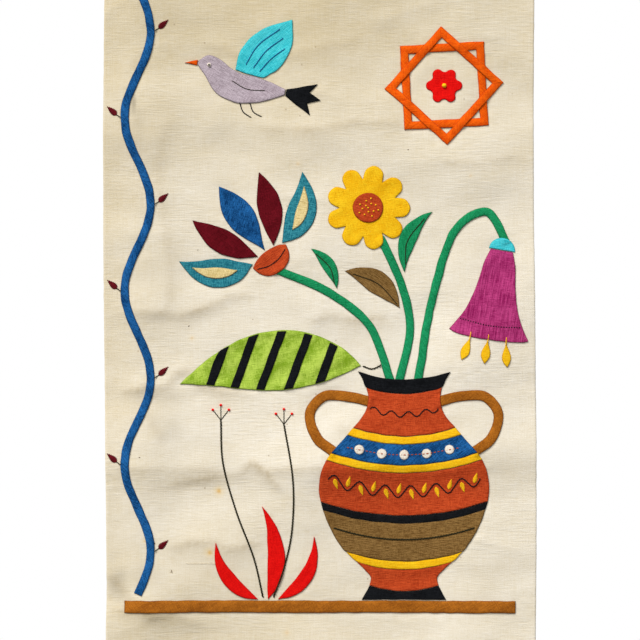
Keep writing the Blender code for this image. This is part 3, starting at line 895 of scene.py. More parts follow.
def math_node(tree, operation, *values):
    """What a Math node makes of two or three values or links."""
    return add(tree, "Math", dict(enumerate(values)), operation=operation).outputs[0]


def summed(tree, total, *parts):
    """A total with some of each part added to it. A part is given with how much of it to add."""
    for part, share in parts:
        total = math_node(tree, "MULTIPLY_ADD", part, share, total)
    return total


def blend_colours(tree, how, share, first, second):
    """A share of the second colour over the first."""
    mixed = add(tree, "Mix", {0: share, 6: first, 7: second}, data_type="RGBA", blend_type=how)
    return mixed.outputs[2]


def drawn_out(tree, coords, long_mm, pitch_mm, turn=0.0, detail=1.0):
    """Noise drawn out along one way: features long_mm along it and pitch_mm across it."""
    size = (long_mm * MM, pitch_mm * MM, pitch_mm * MM)
    laid = add(tree, "Mapping", {"Vector": coords, "Rotation": (0.0, 0.0, turn), "Scale": size},
               vector_type="TEXTURE")
    spots = {"Vector": laid.outputs[0], "Scale": 1.0, "Detail": detail, "Roughness": 0.55}
    return add(tree, "TexNoise", spots).outputs["Fac"]


def plain_weave(tree, coords, pitch_mm, turn=0.0):
    """The small checks of over and under in a plain weave."""
    laid = add(tree, "Mapping", {"Vector": coords, "Rotation": (0.0, 0.0, turn)},
               vector_type="TEXTURE").outputs[0]
    bands = {"Vector": laid, "Scale": math.tau / (20 * pitch_mm * MM), "Distortion": 0.6,
             "Detail": 1.0, "Detail Scale": 0.4}
    across = add(tree, "TexWave", bands, bands_direction="X").outputs["Fac"]
    up = add(tree, "TexWave", bands, bands_direction="Y").outputs["Fac"]
    return math_node(tree, "ABSOLUTE", math_node(tree, "SUBTRACT", across, up))


print("a display grey of 128 is", round(linear((128,))[0], 3), "in linear light")

# %% [markdown]
# Cotton has almost no gloss, but its fine hairs catch light that comes at a slant. A Diffuse shader
# would do for the colour, but it has no hairs. So every cloth and thread starts from one Principled
# shader with little gloss and a touch of sheen.

# %% A matt finish
MATT_GLOSS = 0.08
SHEEN_ROUGHNESS = 0.5


def new_finish(name, roughness, sheen):
    """A material with its matt shader, and its node tree."""
    material = bpy.data.materials.new(name)
    material.use_nodes = True
    shader = material.node_tree.nodes["Principled BSDF"]
    shader.inputs["Roughness"].default_value = roughness
    shader.inputs["Specular IOR Level"].default_value = MATT_GLOSS
    shader.inputs["Sheen Weight"].default_value = sheen
    shader.inputs["Sheen Roughness"].default_value = SHEEN_ROUGHNESS
    return material, material.node_tree, shader


def dress(tree, shader, colour, height, strength, depth):
    """Leads a colour and a bump, so strong and so many metres deep, into a shader."""
    bump = add(tree, "Bump", {"Height": height, "Strength": strength, "Distance": depth})
    tree.links.new(colour, shader.inputs["Base Color"])
    tree.links.new(bump.outputs[0], shader.inputs["Normal"])


print("specular level:", MATT_GLOSS, "and sheen roughness:", SHEEN_ROUGHNESS)

# %% [markdown]
# ## Dyed cotton
#
# Ribs, warps, clouds and grain together lead from a shade to a light of the same dye, and they also
# bump the surface. A colour ramp could do it too, but a plain mix leaves both colours easy to read
# in the table below. Right at the turned edge the colour is darkened, which is painted shade in the
# seam.
# The diagonal cottons have their weave turned by the angle of the twill.

# %% Dyed cotton
# painted shade in the seam: the colour darkens to this share of itself at the turned edge
SEAM_PAINTED_SHADE, EDGE_FROM, EDGE_TO = 0.50, 0.02, 0.11
CHECK_BUMP, GRAIN_BUMP = 0.15, 0.5
COTTON_BUMP = (0.8, 0.00034)


def dyed_cotton(name, light, shade, ribbed, warped, cloudy, grainy=1.9, twill=0.0, warp_mm=8.0,
                roughness=0.88, sheen=0.02):
    """A cotton between two colours. ribbed, warped, cloudy and grainy are how much each shows."""
    material, tree, shader = new_finish(name, roughness, sheen)
    weave = add(tree, "UVMap", uv_map="weave").outputs[0]
    turn = math.radians(twill)
    ribs = drawn_out(tree, weave, 7.0, 1.05, turn)
    warps = drawn_out(tree, weave, 0.95, warp_mm, turn)
    grain = drawn_out(tree, weave, 1.0, 0.8, turn)
    clouds = drawn_out(tree, weave, 24.0, 15.0, 0.4, 3.0)
    checks = plain_weave(tree, weave, 0.8, turn)
    middle = 0.5 - (ribbed + warped + cloudy + grainy) / 2
    tone = summed(tree, middle, (ribs, ribbed), (warps, warped), (clouds, cloudy), (grain, grainy))
    colour = blend_colours(tree, "MIX", tone, linear(shade), linear(light))
    edge = add(tree, "Attribute", attribute_name="edge").outputs["Fac"]
    # painted shade: the colour darkens right at the turned edge
    deep = add(tree, "MapRange", {"Value": edge, 1: EDGE_FROM, 2: EDGE_TO, 3: SEAM_PAINTED_SHADE, 4: 1.0})
    colour = add(tree, "HueSaturation", {"Color": colour, "Value": deep.outputs[0]}).outputs[0]
    height = summed(tree, math_node(tree, "MULTIPLY", warps, warped), (ribs, ribbed),
                    (grain, grainy * GRAIN_BUMP), (checks, CHECK_BUMP))
    dress(tree, shader, colour, height, *COTTON_BUMP)
    return material


print("the cloth darkens to", SEAM_PAINTED_SHADE, "of its colour in the seam")

# %% [markdown]
# The dyes follow, each with its light and shade as display colours. Two steps of one dye are enough
# for a hand-dyed cotton. The cloths differ more in how strongly the ribs and the clouds show.

# %% The seventeen dyes
DYED = {
    # name: light, shade, ribbed, warped, cloudy, then what isn't the usual
    "terracotta": ((210, 84, 40), (162, 50, 18), 1.7, 1.0, 0.9, {"grainy": 1.5}),
    "yellow": ((255, 208, 34), (238, 172, 2), 1.1, 1.1, 1.4, {}),
    "blue": ((35, 105, 172), (3, 52, 98), 2.0, 1.1, 2.0, {"twill": 38.0}),
    "white": ((255, 248, 236), (224, 210, 190), 1.0, 0.9, 0.6, {}),
    "black": ((24, 26, 30), (3, 4, 6), 1.6, 1.1, 0.9, {"sheen": 0.0}),
    "olive": ((148, 114, 64), (102, 72, 32), 2.3, 1.0, 0.8, {}),
    "ochre": ((186, 112, 32), (134, 74, 14), 1.2, 1.1, 1.6, {"twill": 30.0}),
    "green": ((34, 162, 104), (8, 114, 68), 1.7, 1.0, 0.8, {"twill": 36.0}),
    "lime": ((190, 217, 90), (128, 163, 34), 1.2, 1.2, 3.0, {"grainy": 1.4}),
    "teal": ((62, 150, 164), (16, 98, 118), 2.2, 1.9, 1.1, {}),
    "burgundy": ((112, 14, 28), (74, 0, 8), 1.1, 1.0, 1.1, {}),
    "cream": ((242, 222, 164), (208, 182, 116), 1.8, 1.1, 0.7, {}),
    "magenta": ((198, 70, 134), (142, 22, 86), 1.1, 2.3, 1.6, {"grainy": 1.2, "warp_mm": 18.0}),
    "orange": ((250, 107, 10), (220, 70, 0), 1.8, 1.0, 1.1, {"twill": 40.0}),
    "lilac": ((200, 186, 196), (156, 140, 150), 1.7, 1.3, 1.1,
              {"twill": 22.0, "roughness": 0.66, "sheen": 0.10}),
    "turquoise": ((88, 220, 230), (36, 184, 198), 1.5, 1.3, 1.2, {"grainy": 1.4}),
    "red": ((246, 22, 16), (206, 0, 2), 1.1, 1.0, 0.9, {}),
}
finishes = {name: dyed_cotton(name + "_cotton", *row[:-1], **row[-1]) for name, row in DYED.items()}
print("dyed cottons:", len(finishes))

# %% [markdown]
# ## Age, painted shade and painted light on the canvas
#
# The canvas is darker and yellower towards the top, down the left side, at the bottom left and at
# the top of the right side, which is painted shade, and a little lighter in the middle, which is
# painted light. Damp has brought out spots the colour of rust, and there is a grey smudge here and
# there where it was handled, while thin grey bands just below two creases are painted shade. Such
# marks could be painted into an image, but a soft ellipse for each keeps them as numbers that can
# be moved. Each reads Object coordinates, so it stays put on the cloth.

# %% Marks on the canvas
RUST_SPOTS = (
    # x, z, radius, strength
    (-101.0, -541.0, 3.6, 0.95),
    (-110.0, -602.0, 3.6, 0.95),
    (-175.0, -591.0, 2.2, 0.45),
    (-33.0, -682.0, 3.0, 0.40),
    (54.0, -540.0, 3.4, 0.60),
    (76.0, -635.0, 2.6, 0.45),
    (12.0, -546.0, 2.2, 0.40),
    (-22.0, -214.0, 2.4, 0.35),
    (-128.0, -388.0, 2.6, 0.35),
    (150.0, -226.0, 2.2, 0.30),
)
# painted shade where the strength is positive, darker and yellower; painted light where it is negative
PAINTED_SHADE_AND_LIGHT = (
    # x, z, width, height, how strongly
    (-60.0, -10.0, 460.0, 300.0, 0.52),
    (-260.0, -330.0, 160.0, 420.0, 0.36),
    (-150.0, -760.0, 340.0, 240.0, 0.42),
    (240.0, -120.0, 90.0, 210.0, 0.16),
    (60.0, -410.0, 330.0, 200.0, -0.10),
)
SMUDGES_AND_CREASE_SHADE = (
    # x, z, width, height, strength
    (-186.0, -153.0, 4.5, 15.0, 0.45),
    (-182.0, -178.0, 11.0, 40.0, 0.14),
    (-203.0, -632.0, 17.0, 27.0, 0.38),
    (-178.0, -622.0, 34.0, 22.0, 0.16),
    (-158.0, -446.0, 46.0, 13.0, 0.17),
    (-150.0, -478.0, 26.0, 20.0, 0.14),
    # the next three are painted shade: thin grey bands just below the long crease and the fine crease near
    # the top
    (-120.0, -532.0, 90.0, 9.0, 0.13),
    (30.0, -528.0, 90.0, 8.0, 0.10),
    (-40.0, -146.0, 60.0, 4.0, 0.08),
)
RUST_RINGS = (
    # reach, share, colour: a pale ring, then its middle
    (2.4, 1.1, (240, 214, 158)),
    (1.1, 1.6, (226, 182, 108)),
)
# colour of the smudges and of the painted shade below two creases
SMUDGE_AND_SHADE_COLOUR = (128, 118, 98)
# dust along the creases, with painted shade on their lower side
DUST_SHADE_SHARE, DUST_SHADE_COLOUR = 0.60, (170, 148, 104)
print("rust spots:", len(RUST_SPOTS), "smudges:", len(SMUDGES_AND_CREASE_SHADE))

# %% [markdown]
# No mark has a clean outline, as the cloth takes up more here than there. A stain could be mixed
# over evenly, but then it looks like a sticker. So the share of a mark is how near its spot is
# times a patchy noise, and the same is done along the creases with the dust and painted shade noted
# there.


# %% Stains
def near_spot(tree, coords, x, z, width, height):
    """1 at a spot on the cloth and 0 outside an ellipse round it, in millimetres."""
    size = (width * MM, 1.0, height * MM)
    laid = add(tree, "Mapping", {"Vector": coords, "Location": (x * MM, 0.0, z * MM), "Scale": size},
               vector_type="TEXTURE")
    away = add(tree, "VectorMath", {0: laid.outputs[0]}, operation="LENGTH").outputs["Value"]
    near = {"Value": away, 1: 0.0, 2: 1.0, 3: 1.0, 4: 0.0}
    return add(tree, "MapRange", near, interpolation_type="SMOOTHSTEP").outputs[0]


def laid_stain_and_shade(tree, colour, spot, patchy, strength, mark_colour):
    """A colour with a mark laid over it where a spot is, as patchy as some noise. Rust, smudges, husk and
    dust are laid on this way, and so is painted shade.
    """
    share = math_node(tree, "MULTIPLY", spot, math_node(tree, "MULTIPLY", patchy, strength))
    return blend_colours(tree, "MIX", share, colour, linear(mark_colour))


def marked_and_shaded(tree, colour, place, weave, clouds):
    """The canvas's colour with its rust spots, its smudges, the painted shade below two creases, and the
    dust and painted shade along its creases.
    """
    patchy = drawn_out(tree, weave, 5.0, 4.0, 0.8, 4.0)
    for x, z, radius, strength in RUST_SPOTS:
        for reach, share, mark_colour in RUST_RINGS:
            spot = near_spot(tree, place, x, z, radius * reach, radius * reach)
            colour = laid_stain_and_shade(tree, colour, spot, patchy, strength * share, mark_colour)
    # smudges, and painted shade below two creases
    for x, z, width, height, strength in SMUDGES_AND_CREASE_SHADE:
        spot = near_spot(tree, place, x, z, width, height)
        colour = laid_stain_and_shade(tree, colour, spot, clouds, strength * 2, SMUDGE_AND_SHADE_COLOUR)
    # dust and painted shade along the creases
    dust_and_shade = add(tree, "Attribute", attribute_name="dust_and_shade").outputs["Fac"]
    return laid_stain_and_shade(tree, colour, dust_and_shade, patchy, DUST_SHADE_SHARE, DUST_SHADE_COLOUR)


# the marks counted here include painted shade
print("stains to lay over the canvas:", len(RUST_SPOTS) * len(RUST_RINGS) + len(SMUDGES_AND_CREASE_SHADE) + 1)

# %% [markdown]
# ## Undyed canvas
#
# The canvas's wefts are spun unevenly, so they show as faint level ribs that waver and break off.
# Straight drawn-out noise would look printed, so a second noise moves the place where the first is
# read. Husk from the cotton boll is still in the cloth as tiny brown flecks, and those are the
# middles of a few Voronoi cells.

# %% Canvas finish
CANVAS_LIGHT, CANVAS_SHADE = (246, 240, 228), (215, 199, 163)
CANVAS_MIDDLE = -0.29
# how much the fine ribs, the warps, the grain and the clouds show in the colour
CANVAS_TONE = (0.46, 0.30, 0.50, 0.50)
# how much the fine ribs, the warps, the grain and the checks stand up
CANVAS_RELIEF = (0.34, 0.20, 0.20, 0.10)
RIB_RELIEF = 1.4
CANVAS_BUMP = (0.75, 0.00065)
FLECK_COLOUR, FLECK_SCALE, FLECK_SHARE = (140, 112, 74), 62.0, 0.45
FEW_FLECKS = 0.72


def flecked(tree, colour, place):
    """A colour with tiny flecks of husk in it."""
    flecks = add(tree, "TexVoronoi", {"Vector": place, "Scale": FLECK_SCALE})
    near = {"Value": flecks.outputs["Distance"], 1: 0.035, 2: 0.07, 3: 1.0, 4: 0.0}
    small = add(tree, "MapRange", near).outputs[0]
    chance = add(tree, "SeparateColor", {0: flecks.outputs["Color"]}).outputs[0]
    few = math_node(tree, "GREATER_THAN", chance, FEW_FLECKS)
    return laid_stain_and_shade(tree, colour, small, few, FLECK_SHARE, FLECK_COLOUR)


def canvas_finish():
    """The undyed canvas with its ribs, its painted shade and light, and its spots."""
    material, tree, shader = new_finish("canvas_cotton", 0.9, 0.10)
    weave = add(tree, "UVMap", uv_map="weave").outputs[0]
    place = add(tree, "TexCoord").outputs["Object"]
    waver = add(tree, "TexNoise", {"Vector": place, "Scale": 18.0, "Detail": 1.0}).outputs["Color"]
    waver = add(tree, "VectorMath", {0: waver, 1: (0.0, 0.006, 0.0)}, operation="MULTIPLY")
    wavered = add(tree, "VectorMath", {0: weave, 1: waver.outputs[0]}, operation="ADD").outputs[0]
    ribs = drawn_out(tree, wavered, 20.0, 2.0)
    fine_ribs = drawn_out(tree, wavered, 9.0, 1.1)
    warps = drawn_out(tree, weave, 1.3, 26.0)
    checks = plain_weave(tree, weave, 0.9)
    clouds = drawn_out(tree, weave, 60.0, 34.0, 0.3, 4.0)
    grain = drawn_out(tree, weave, 1.2, 0.9)
    patchy_ribs = drawn_out(tree, weave, 120.0, 80.0)
    how_ribbed = add(tree, "MapRange", {"Value": patchy_ribs, 1: 0.38, 2: 0.62, 3: 0.10, 4: 0.40})
    ribs = math_node(tree, "MULTIPLY", math_node(tree, "SUBTRACT", ribs, 0.5), how_ribbed.outputs[0])
    tone = math_node(tree, "ADD", ribs, CANVAS_MIDDLE)
    # painted shade lowers the tone, painted light raises it
    painted_shade_and_light = [(near_spot(tree, place, *spot), -strength) for *spot, strength in PAINTED_SHADE_AND_LIGHT]
    tone = summed(tree, tone, *zip((fine_ribs, warps, grain, clouds), CANVAS_TONE), *painted_shade_and_light)
    colour = blend_colours(tree, "MIX", tone, linear(CANVAS_SHADE), linear(CANVAS_LIGHT))
    colour = flecked(tree, marked_and_shaded(tree, colour, place, weave, clouds), place)
    height = math_node(tree, "MULTIPLY", ribs, RIB_RELIEF)
    height = summed(tree, height, *zip((fine_ribs, warps, grain, checks), CANVAS_RELIEF))
    dress(tree, shader, colour, height, *CANVAS_BUMP)
    return material


finishes["canvas"] = canvas_finish()
print("nodes in the canvas's finish:", len(finishes["canvas"].node_tree.nodes))

# %% [markdown]
# ## Thread
#
# Sewing thread is dyed to match each cloth. The twist of its strands could be modelled, but at
# half a millimetre it would never be seen. So its finish is a colour that varies along the thread,
# with a fine noise bumped into it.

# %% Thread finish
THREAD_CLOUDS, THREAD_STRANDS = 420.0, 1500.0
THREAD_BUMP = (0.6, 0.0002)


def thread_finish(name, light, shade):
    """A thread between two colours."""
    material, tree, shader = new_finish(name, 0.8, 0.04)
    place = add(tree, "TexCoord").outputs["Object"]
    tone = add(tree, "TexNoise", {"Vector": place, "Scale": THREAD_CLOUDS, "Detail": 1.0}).outputs["Fac"]
    colour = blend_colours(tree, "MIX", tone, linear(shade), linear(light))
    strands = add(tree, "TexNoise", {"Vector": place, "Scale": THREAD_STRANDS, "Detail": 1.0})
    dress(tree, shader, colour, strands.outputs["Fac"], *THREAD_BUMP)
    return material


THREAD_ONLY = {
    # name: light, shade, the finish it counts as in the record
    "embroidery": ((54, 50, 26), (14, 12, 4), "black"),
    "rust": ((190, 92, 50), (140, 54, 28), "terracotta"),
    "undyed": ((238, 228, 206), (206, 192, 162), "canvas"),
    "husk": ((120, 92, 62), (70, 50, 34), "canvas"),
}
thread_finishes = {name: thread_finish(name + "_thread", *row[:2])
                   for name, row in {**DYED, **THREAD_ONLY}.items()}
print("threads:", len(thread_finishes))

# %% [markdown]
# ## The sides of the canvas
#
# The sides of a hemmed cloth are never quite straight. A maker irons the hem by eye, and each
# stitch pulls at it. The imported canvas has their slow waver, so its outline is walked round as a
# patch's is, and a small wobble is added. A plain rectangle would be simpler, but the hanging would
# then look cut out of card.

# %% Sides of the canvas
WOBBLE, WOBBLE_SIZE = 0.3, 9.0

canvas_walk = walks("ground")[0]
canvas_corners = [i for i in range(len(canvas_walk)) if turn_at(canvas_walk, i) > CORNER_TURN]
canvas_sides = [[canvas_walk[i % len(canvas_walk)] for i in range(here, there + 1)]
                for here, there in zip(canvas_corners, canvas_corners[1:]
                                       + [canvas_corners[0] + len(canvas_walk)])]
left_side = min(canvas_sides, key=lambda side: sum(point.x for point in side) / len(side))
right_side = max(canvas_sides, key=lambda side: sum(point.x for point in side) / len(side))
bottom_side = min(canvas_sides, key=lambda side: sum(point.y for point in side) / len(side))


def side_reader(points, along, across):
    """A function giving where a side of the canvas lies at a place along it."""
    close = curve_through(points)
    places, offsets = zip(*sorted((point[along], point[across]) for point in close))

    def read(place):
        """Where the side lies at a place, with a small wobble."""
        wobble = WOBBLE * noise.noise(Vector((place / WOBBLE_SIZE, offsets[0], 0.0)))
        return float(np.interp(place, places, offsets)) + wobble

    return read


left_at, right_at = side_reader(left_side, 1, 0), side_reader(right_side, 1, 0)
bottom_at = side_reader(bottom_side, 0, 1)
top_z = canvas_high.z
print("canvas corners:", len(canvas_corners))

# %% [markdown]
# ## Rows and columns
#
# The canvas starts as a grid, and its points are wanted where it bends most: at the turned sides,
# at the inner edge of the hem and along the level creases. Subdividing it evenly until the creases
# are sharp would take many times the faces, so the rows and columns are spaced as listed.

# %% Rows and columns
HEM = 14.0
HEM_STEP = 1.0
NEAR_SIDE = [0.0, 0.35, 1.2, 2.6, 5.0, 7.6, 10.2, HEM - HEM_STEP, HEM, HEM + 1.4]
COLUMN_CELL, ROW_CELL, CREASE_CELL = 3.5, 3.0, 1.5
CREASE_MARGIN = 4.0
MOST_RISE = 36.0


def side_to_side(full, cell):
    """Distances from one side to the other, close together near both."""
    inner = full - 2 * (NEAR_SIDE[-1] + cell)
    middle = np.linspace(NEAR_SIDE[-1] + cell, full - NEAR_SIDE[-1] - cell, round(inner / cell) + 1)
    return [*NEAR_SIDE, *middle, *(full - near for near in reversed(NEAR_SIDE))]


def closer_at_creases(rows):
    """The rows with one more between each two that lie where a level crease runs."""
    spans = [(min(z for _, z in points), max(z for _, z in points)) for *_, points in CREASES]
    spans = [(low - CREASE_MARGIN - canvas_low.z, high + CREASE_MARGIN - canvas_low.z)
             for low, high in spans if high - low < MOST_RISE]
    more = [(here + there) / 2 for here, there in zip(rows, rows[1:])
            if there - here > CREASE_CELL and any(low < here < high for low, high in spans)]
    return sorted([*rows, *more])


columns = side_to_side(canvas_high.x - canvas_low.x, COLUMN_CELL)
rows = closer_at_creases(side_to_side(canvas_high.z - canvas_low.z, ROW_CELL))
print("grid:", len(columns), "by", len(rows))

# %% [markdown]
# ## What sewing does to the canvas
#
# The stitches of the patches drag at the canvas, so it dips at every seam and ruffles a little
# beside it. At its sides both faces bend towards each other into the round of the turn, and at the
# back the hem stands out by one more thickness. A simulation could find all three, but each depends
# only on the distance to a seam or to a side, so three short functions do.

# %% Drag, turn and hem
CANVAS = 1.2
HEM_CLOTH = 1.0
TURN, TURN_DEPTH = 1.3, 0.72
DIP, DIP_WIDE = 0.30, 2.4
RUFFLE, RUFFLE_WIDE, RUFFLE_SIZE = 0.34, 13.0, (8.0, 6.5)

seam_tree = tree_of(np.concatenate([loop for patch in patches.values() for loop in patch.loops]))


def drag(x, z):
    """How the seams pull the canvas in or ruffle it, in millimetres."""
    away = seam_tree.find((x, z, 0.0))[2]
    spot = Vector((x / RUFFLE_SIZE[0], z / RUFFLE_SIZE[1], 3.0))
    ruffle = RUFFLE * noise.noise(spot) * math.exp(-away / RUFFLE_WIDE)
    return ruffle - DIP * math.exp(-away / DIP_WIDE)


def turn_drop(side):
    """How far a face bends towards the other at a distance from the side."""
    return TURN * TURN_DEPTH * (1.0 - math.sqrt(1.0 - (1.0 - min(side / TURN, 1.0)) ** 2))


def hem_height(side):
    """How far the hem stands out at the back, with its stitched inner edge."""
    return HEM_CLOTH * smooth_step((HEM - side) / HEM_STEP)


print("the canvas dips at a seam by", DIP, "mm, and its hem stands out by", hem_height(0.0), "mm")

# %% [markdown]
# ## The canvas
#
# One sheet is enough for the canvas: the grid is moved onto the outline, extruded to give the back,
# and then both faces are moved onto the folds. Solidify would give the back too, but not the hem.
# Two attributes go with the points: how near the side they are, and how much dust and painted
# shade the cloth has there.

# %% Canvas mesh
canvas_bm = bmesh.new()
bmesh.ops.create_grid(canvas_bm, x_segments=len(columns) - 1, y_segments=len(rows) - 1, size=0.5)
canvas_side = canvas_bm.verts.layers.float.new("side")
# how much dust and painted shade there is at each point
canvas_dust_shade = canvas_bm.verts.layers.float.new("dust_and_shade")
for vert in canvas_bm.verts:
    column = round((vert.co.x + 0.5) * (len(columns) - 1))
    row = round((vert.co.y + 0.5) * (len(rows) - 1))
    share_x, share_z = columns[column] / columns[-1], rows[row] / rows[-1]
    x = canvas_low.x + columns[column]
    z = canvas_low.z + rows[row]
    left, right, low = left_at(z), right_at(z), bottom_at(x)
    vert.co = Vector((left + (right - left) * share_x, 0.0, low + (top_z - low) * share_z))
    vert[canvas_side] = min(columns[column], columns[-1] - columns[column], rows[row],
                            rows[-1] - rows[row])
bmesh.ops.recalc_face_normals(canvas_bm, faces=canvas_bm.faces)
front_points = set(canvas_bm.verts)
bmesh.ops.extrude_face_region(canvas_bm, geom=canvas_bm.faces[:])
for vert in canvas_bm.verts:
    x, z, side = vert.co.x, vert.co.z, vert[canvas_side]
    if vert in front_points:
        off = lie(x, z) + drag(x, z) - turn_drop(side)
    else:
        off = lie(x, z) - CANVAS - hem_height(side) + turn_drop(side)
    vert.co = Vector((x, -off, z)) * MM
    vert[canvas_dust_shade] = read_table(crease_dust_shade_table, x, z)
canvas_weave = canvas_bm.loops.layers.uv.new("weave")
for face in canvas_bm.faces:
    face.smooth = True
    for corner in face.loops:
        corner[canvas_weave].uv = (corner.vert.co.x, corner.vert.co.z)
bmesh.ops.recalc_face_normals(canvas_bm, faces=canvas_bm.faces)


def piece_from(bm, name, finish, slot):
    """Makes a bmesh a named object that rides with the hanging."""
    mesh = bpy.data.meshes.new(name)
    bm.to_mesh(mesh)
    bm.free()
    mesh.materials.append(finish)
    made = bpy.data.objects.new(name, mesh)
    bpy.context.scene.collection.objects.link(made)
    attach(made, "root")
    return made


canvas = piece_from(canvas_bm, "canvas_cloth", finishes["canvas"], "canvas")
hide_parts("ground")
print("canvas faces:", len(canvas.data.polygons))

# %% [markdown]
# ## The way of the weave
#
# Each patch has a UV map that its weave is drawn on. Unwrapping would turn every piece its own way,
# so the map is worked out. On a tape it follows the tape, so that the slanting twill runs along it
# round every bend. On a frame of four tapes it turns at each mitred corner. Elsewhere it is turned
# to the weave's own direction.

# %% The way of the weave
def tape_way(patch):
    """A function from a point on a tape to its place along the tape and across it."""
    loop, corners = patch.loops[0], patch.corners[0]
    ends = corners[1:] + [corners[0] + len(loop)]
    start, end = max(zip(corners, ends), key=lambda pair: pair[1] - pair[0])
    side = np.array([loop[i % len(loop)] for i in range(start, end + 1)])
    lengths = np.concatenate([[0.0], np.cumsum(np.linalg.norm(np.diff(side, axis=0), axis=1))])
    ways = np.gradient(side, axis=0)
    ways /= np.linalg.norm(ways, axis=1, keepdims=True)
    tree = tree_of(side)

    def way(x, z):
        """The place of a point along the tape and across it."""
        _, i, _ = tree.find((x, z, 0.0))
        off_x, off_z = x - side[i][0], z - side[i][1]
        along_x, along_z = ways[i]
        return lengths[i] + off_x * along_x + off_z * along_z, off_z * along_x - off_x * along_z

    return way


def turned_way(degrees):
    """A function from a point to its place along and across a straight weave."""
    turn = math.radians(degrees)
    return lambda x, z: (x * math.cos(turn) + z * math.sin(turn),
                         z * math.cos(turn) - x * math.sin(turn))


def weave_way(patch, x, z):
    """The way of the weave for a face with its middle at x, z."""
    if patch.node in FRAMES:
        middle = (patch.low + patch.high) / 2
        turn = FRAMES[patch.node][1]
        quarter = round((math.degrees(math.atan2(z - middle[1], x - middle[0])) - turn) / 90)
        return turned_way(turn + 90 * quarter + 90)
    return patch.way


for node, patch in patches.items():
    patch.way = tape_way(patch) if node in TAPES else turned_way(patch.grain)
vine_ways = [patches["vine"].way(x, z)[0] for x, z in patches["vine"].loops[0]]
print("length along the vine's tape, mm:", round(float(max(vine_ways) - min(vine_ways))))

# %% [markdown]
# ## Flat sizes
#
# Each piece's size when flat is worked out, as it would be on the maker's table. The turned-in
# allowance isn't counted. A tape's length could be measured along its middle, but its area over its
# width says the same. Any other patch is turned about until the rectangle round it is smallest. No
# side may be declared under ten millimetres, so the area says the rest.

# %% Flat sizes
LEAST_SIDE = 0.0101
TRY_EVERY = 2


def cut_area(patch):
    """The area within the outline, in square metres."""
    total = 0.0
    for loop in patch.loops:
        ahead = np.roll(loop, -1, axis=0)
        total += float((loop[:, 0] * ahead[:, 1] - ahead[:, 0] * loop[:, 1]).sum()) / 2
    return abs(total) * MM * MM


def flat_size(patch):
    """The width and length of the piece when flat, in metres, along whichever way it fits best."""
    area = cut_area(patch)
    width = TAPES.get(patch.node) or FRAMES.get(patch.node, (None,))[0]
    if width:
        return max(width * MM, LEAST_SIDE), area / (width * MM)
    best = None
    for degrees in range(0, 90, TRY_EVERY):
        way = turned_way(degrees)
        along, across = np.array([way(x, z) for x, z in patch.loops[0]]).T
        sides = sorted(max(np.ptp(reach) * MM, LEAST_SIDE) for reach in (along, across))
        if best is None or sides[0] * sides[1] < best[0] * best[1]:
            best = sides
    return tuple(best)


print("bell, flat, m:", [round(float(side), 3) for side in flat_size(patches["bell"])])

# %% [markdown]
# ## Sewing the patches on
#
# Each shell now becomes a piece: it is laid on the folds, given its UV map and its cloth, and put
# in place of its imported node. All of them could be one mesh with many materials, but a maker sews
# on one after another, and each is a piece that can be changed by itself.


# %% Make the pieces
def sew_on(patch):
    """Makes a patch's piece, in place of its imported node."""
    bm = patch_shell(patch)
    raise_shell(bm, patch)
    weave = bm.loops.layers.uv.new("weave")
    for face in bm.faces:
        face.smooth = True
        middle = face.calc_center_median()
        way = weave_way(patch, middle.x / MM, middle.z / MM)
        for corner in face.loops:
            along, across = way(corner.vert.co.x / MM, corner.vert.co.z / MM)
            corner[weave].uv = (along * MM, across * MM)
    bmesh.ops.triangulate(bm, faces=bm.faces[:])
    bmesh.ops.recalc_face_normals(bm, faces=bm.faces[:])
    cloth = cloth_of[patch.node]
    piece = piece_from(bm, patch.node + "_cloth", finishes[cloth], cloth)
    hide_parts(patch.node)
    return piece


pieces = {node: sew_on(patch) for node, patch in patches.items()}
for node, patch in patches.items():
    under = [canvas, *(pieces[other.node] for other in patch.below)]
    flat_size(patch)
    cut_area(patch)
print("sewn on:", len(pieces), "pieces,",
      sum(len(piece.data.polygons) for piece in pieces.values()), "faces")

# %% [markdown]
# ## Hand stitches
#
# Each stitch shows as a short length of thread between two points. A curve with a round bevel would
# do for one, but thousands need something lighter, so each will be a low bead stretched from point
# to point. The beads are only noted down here, under the name of their thread, and made at the end.


# %% Stitch helpers
def on_front(x, z, height):
    """A point above the canvas's front, in metres."""
    return Vector((x, -(lie(x, z) + height), z)) * MM


def on_back(x, z, height):
    """A point behind the canvas's back, in metres."""
    side = min(x - canvas_low.x, canvas_high.x - x, z - canvas_low.z, canvas_high.z - z)
    return Vector((x, -(lie(x, z) - CANVAS - hem_height(side) - height), z)) * MM


def stand_of(x, z):
    """The height above the canvas of whatever cloth is on top at a point."""
    tops = [patch.face(x, z, patch.tree.find((x, z, 0.0))[2])
            for patch in patches.values() if patch.inside(x, z)]
    return max(tops, default=0.0)


stitches = {name: [] for name in thread_finishes}


def stitch(thread, start, end, width, height):
    """Notes a stitch of a thread between two points, width across and height high, in mm."""
    stitches[thread].append((start, end, width / 2 * MM, height / 2 * MM))


print("cloth above the canvas in the middle of the daisy, mm:", round(stand_of(48.0, -258.0), 2))

# %% [markdown]
# ## Slip stitches
#
# A slip stitch comes up through the canvas just outside the turned edge, catches a thread or two of
# the fold, and goes down again, and at the back the thread runs on to the next one. So each shows
# as a tiny slanting bead at the front and as a longer dash at the back. They could be scattered
# along the edge by geometry nodes, but the outlines already step in time with the stitches.

# %% Slip stitches round every patch
SLIP_OUT, SLIP_IN, SLIP_SLANT = 0.55, 0.80, 0.30
SLIP_BEAD, SLIP_DASH = (0.42, 0.34), (0.45, 0.40)
COMES_UP, CATCHES, LIES_BACK = 0.10, 0.04, 0.05

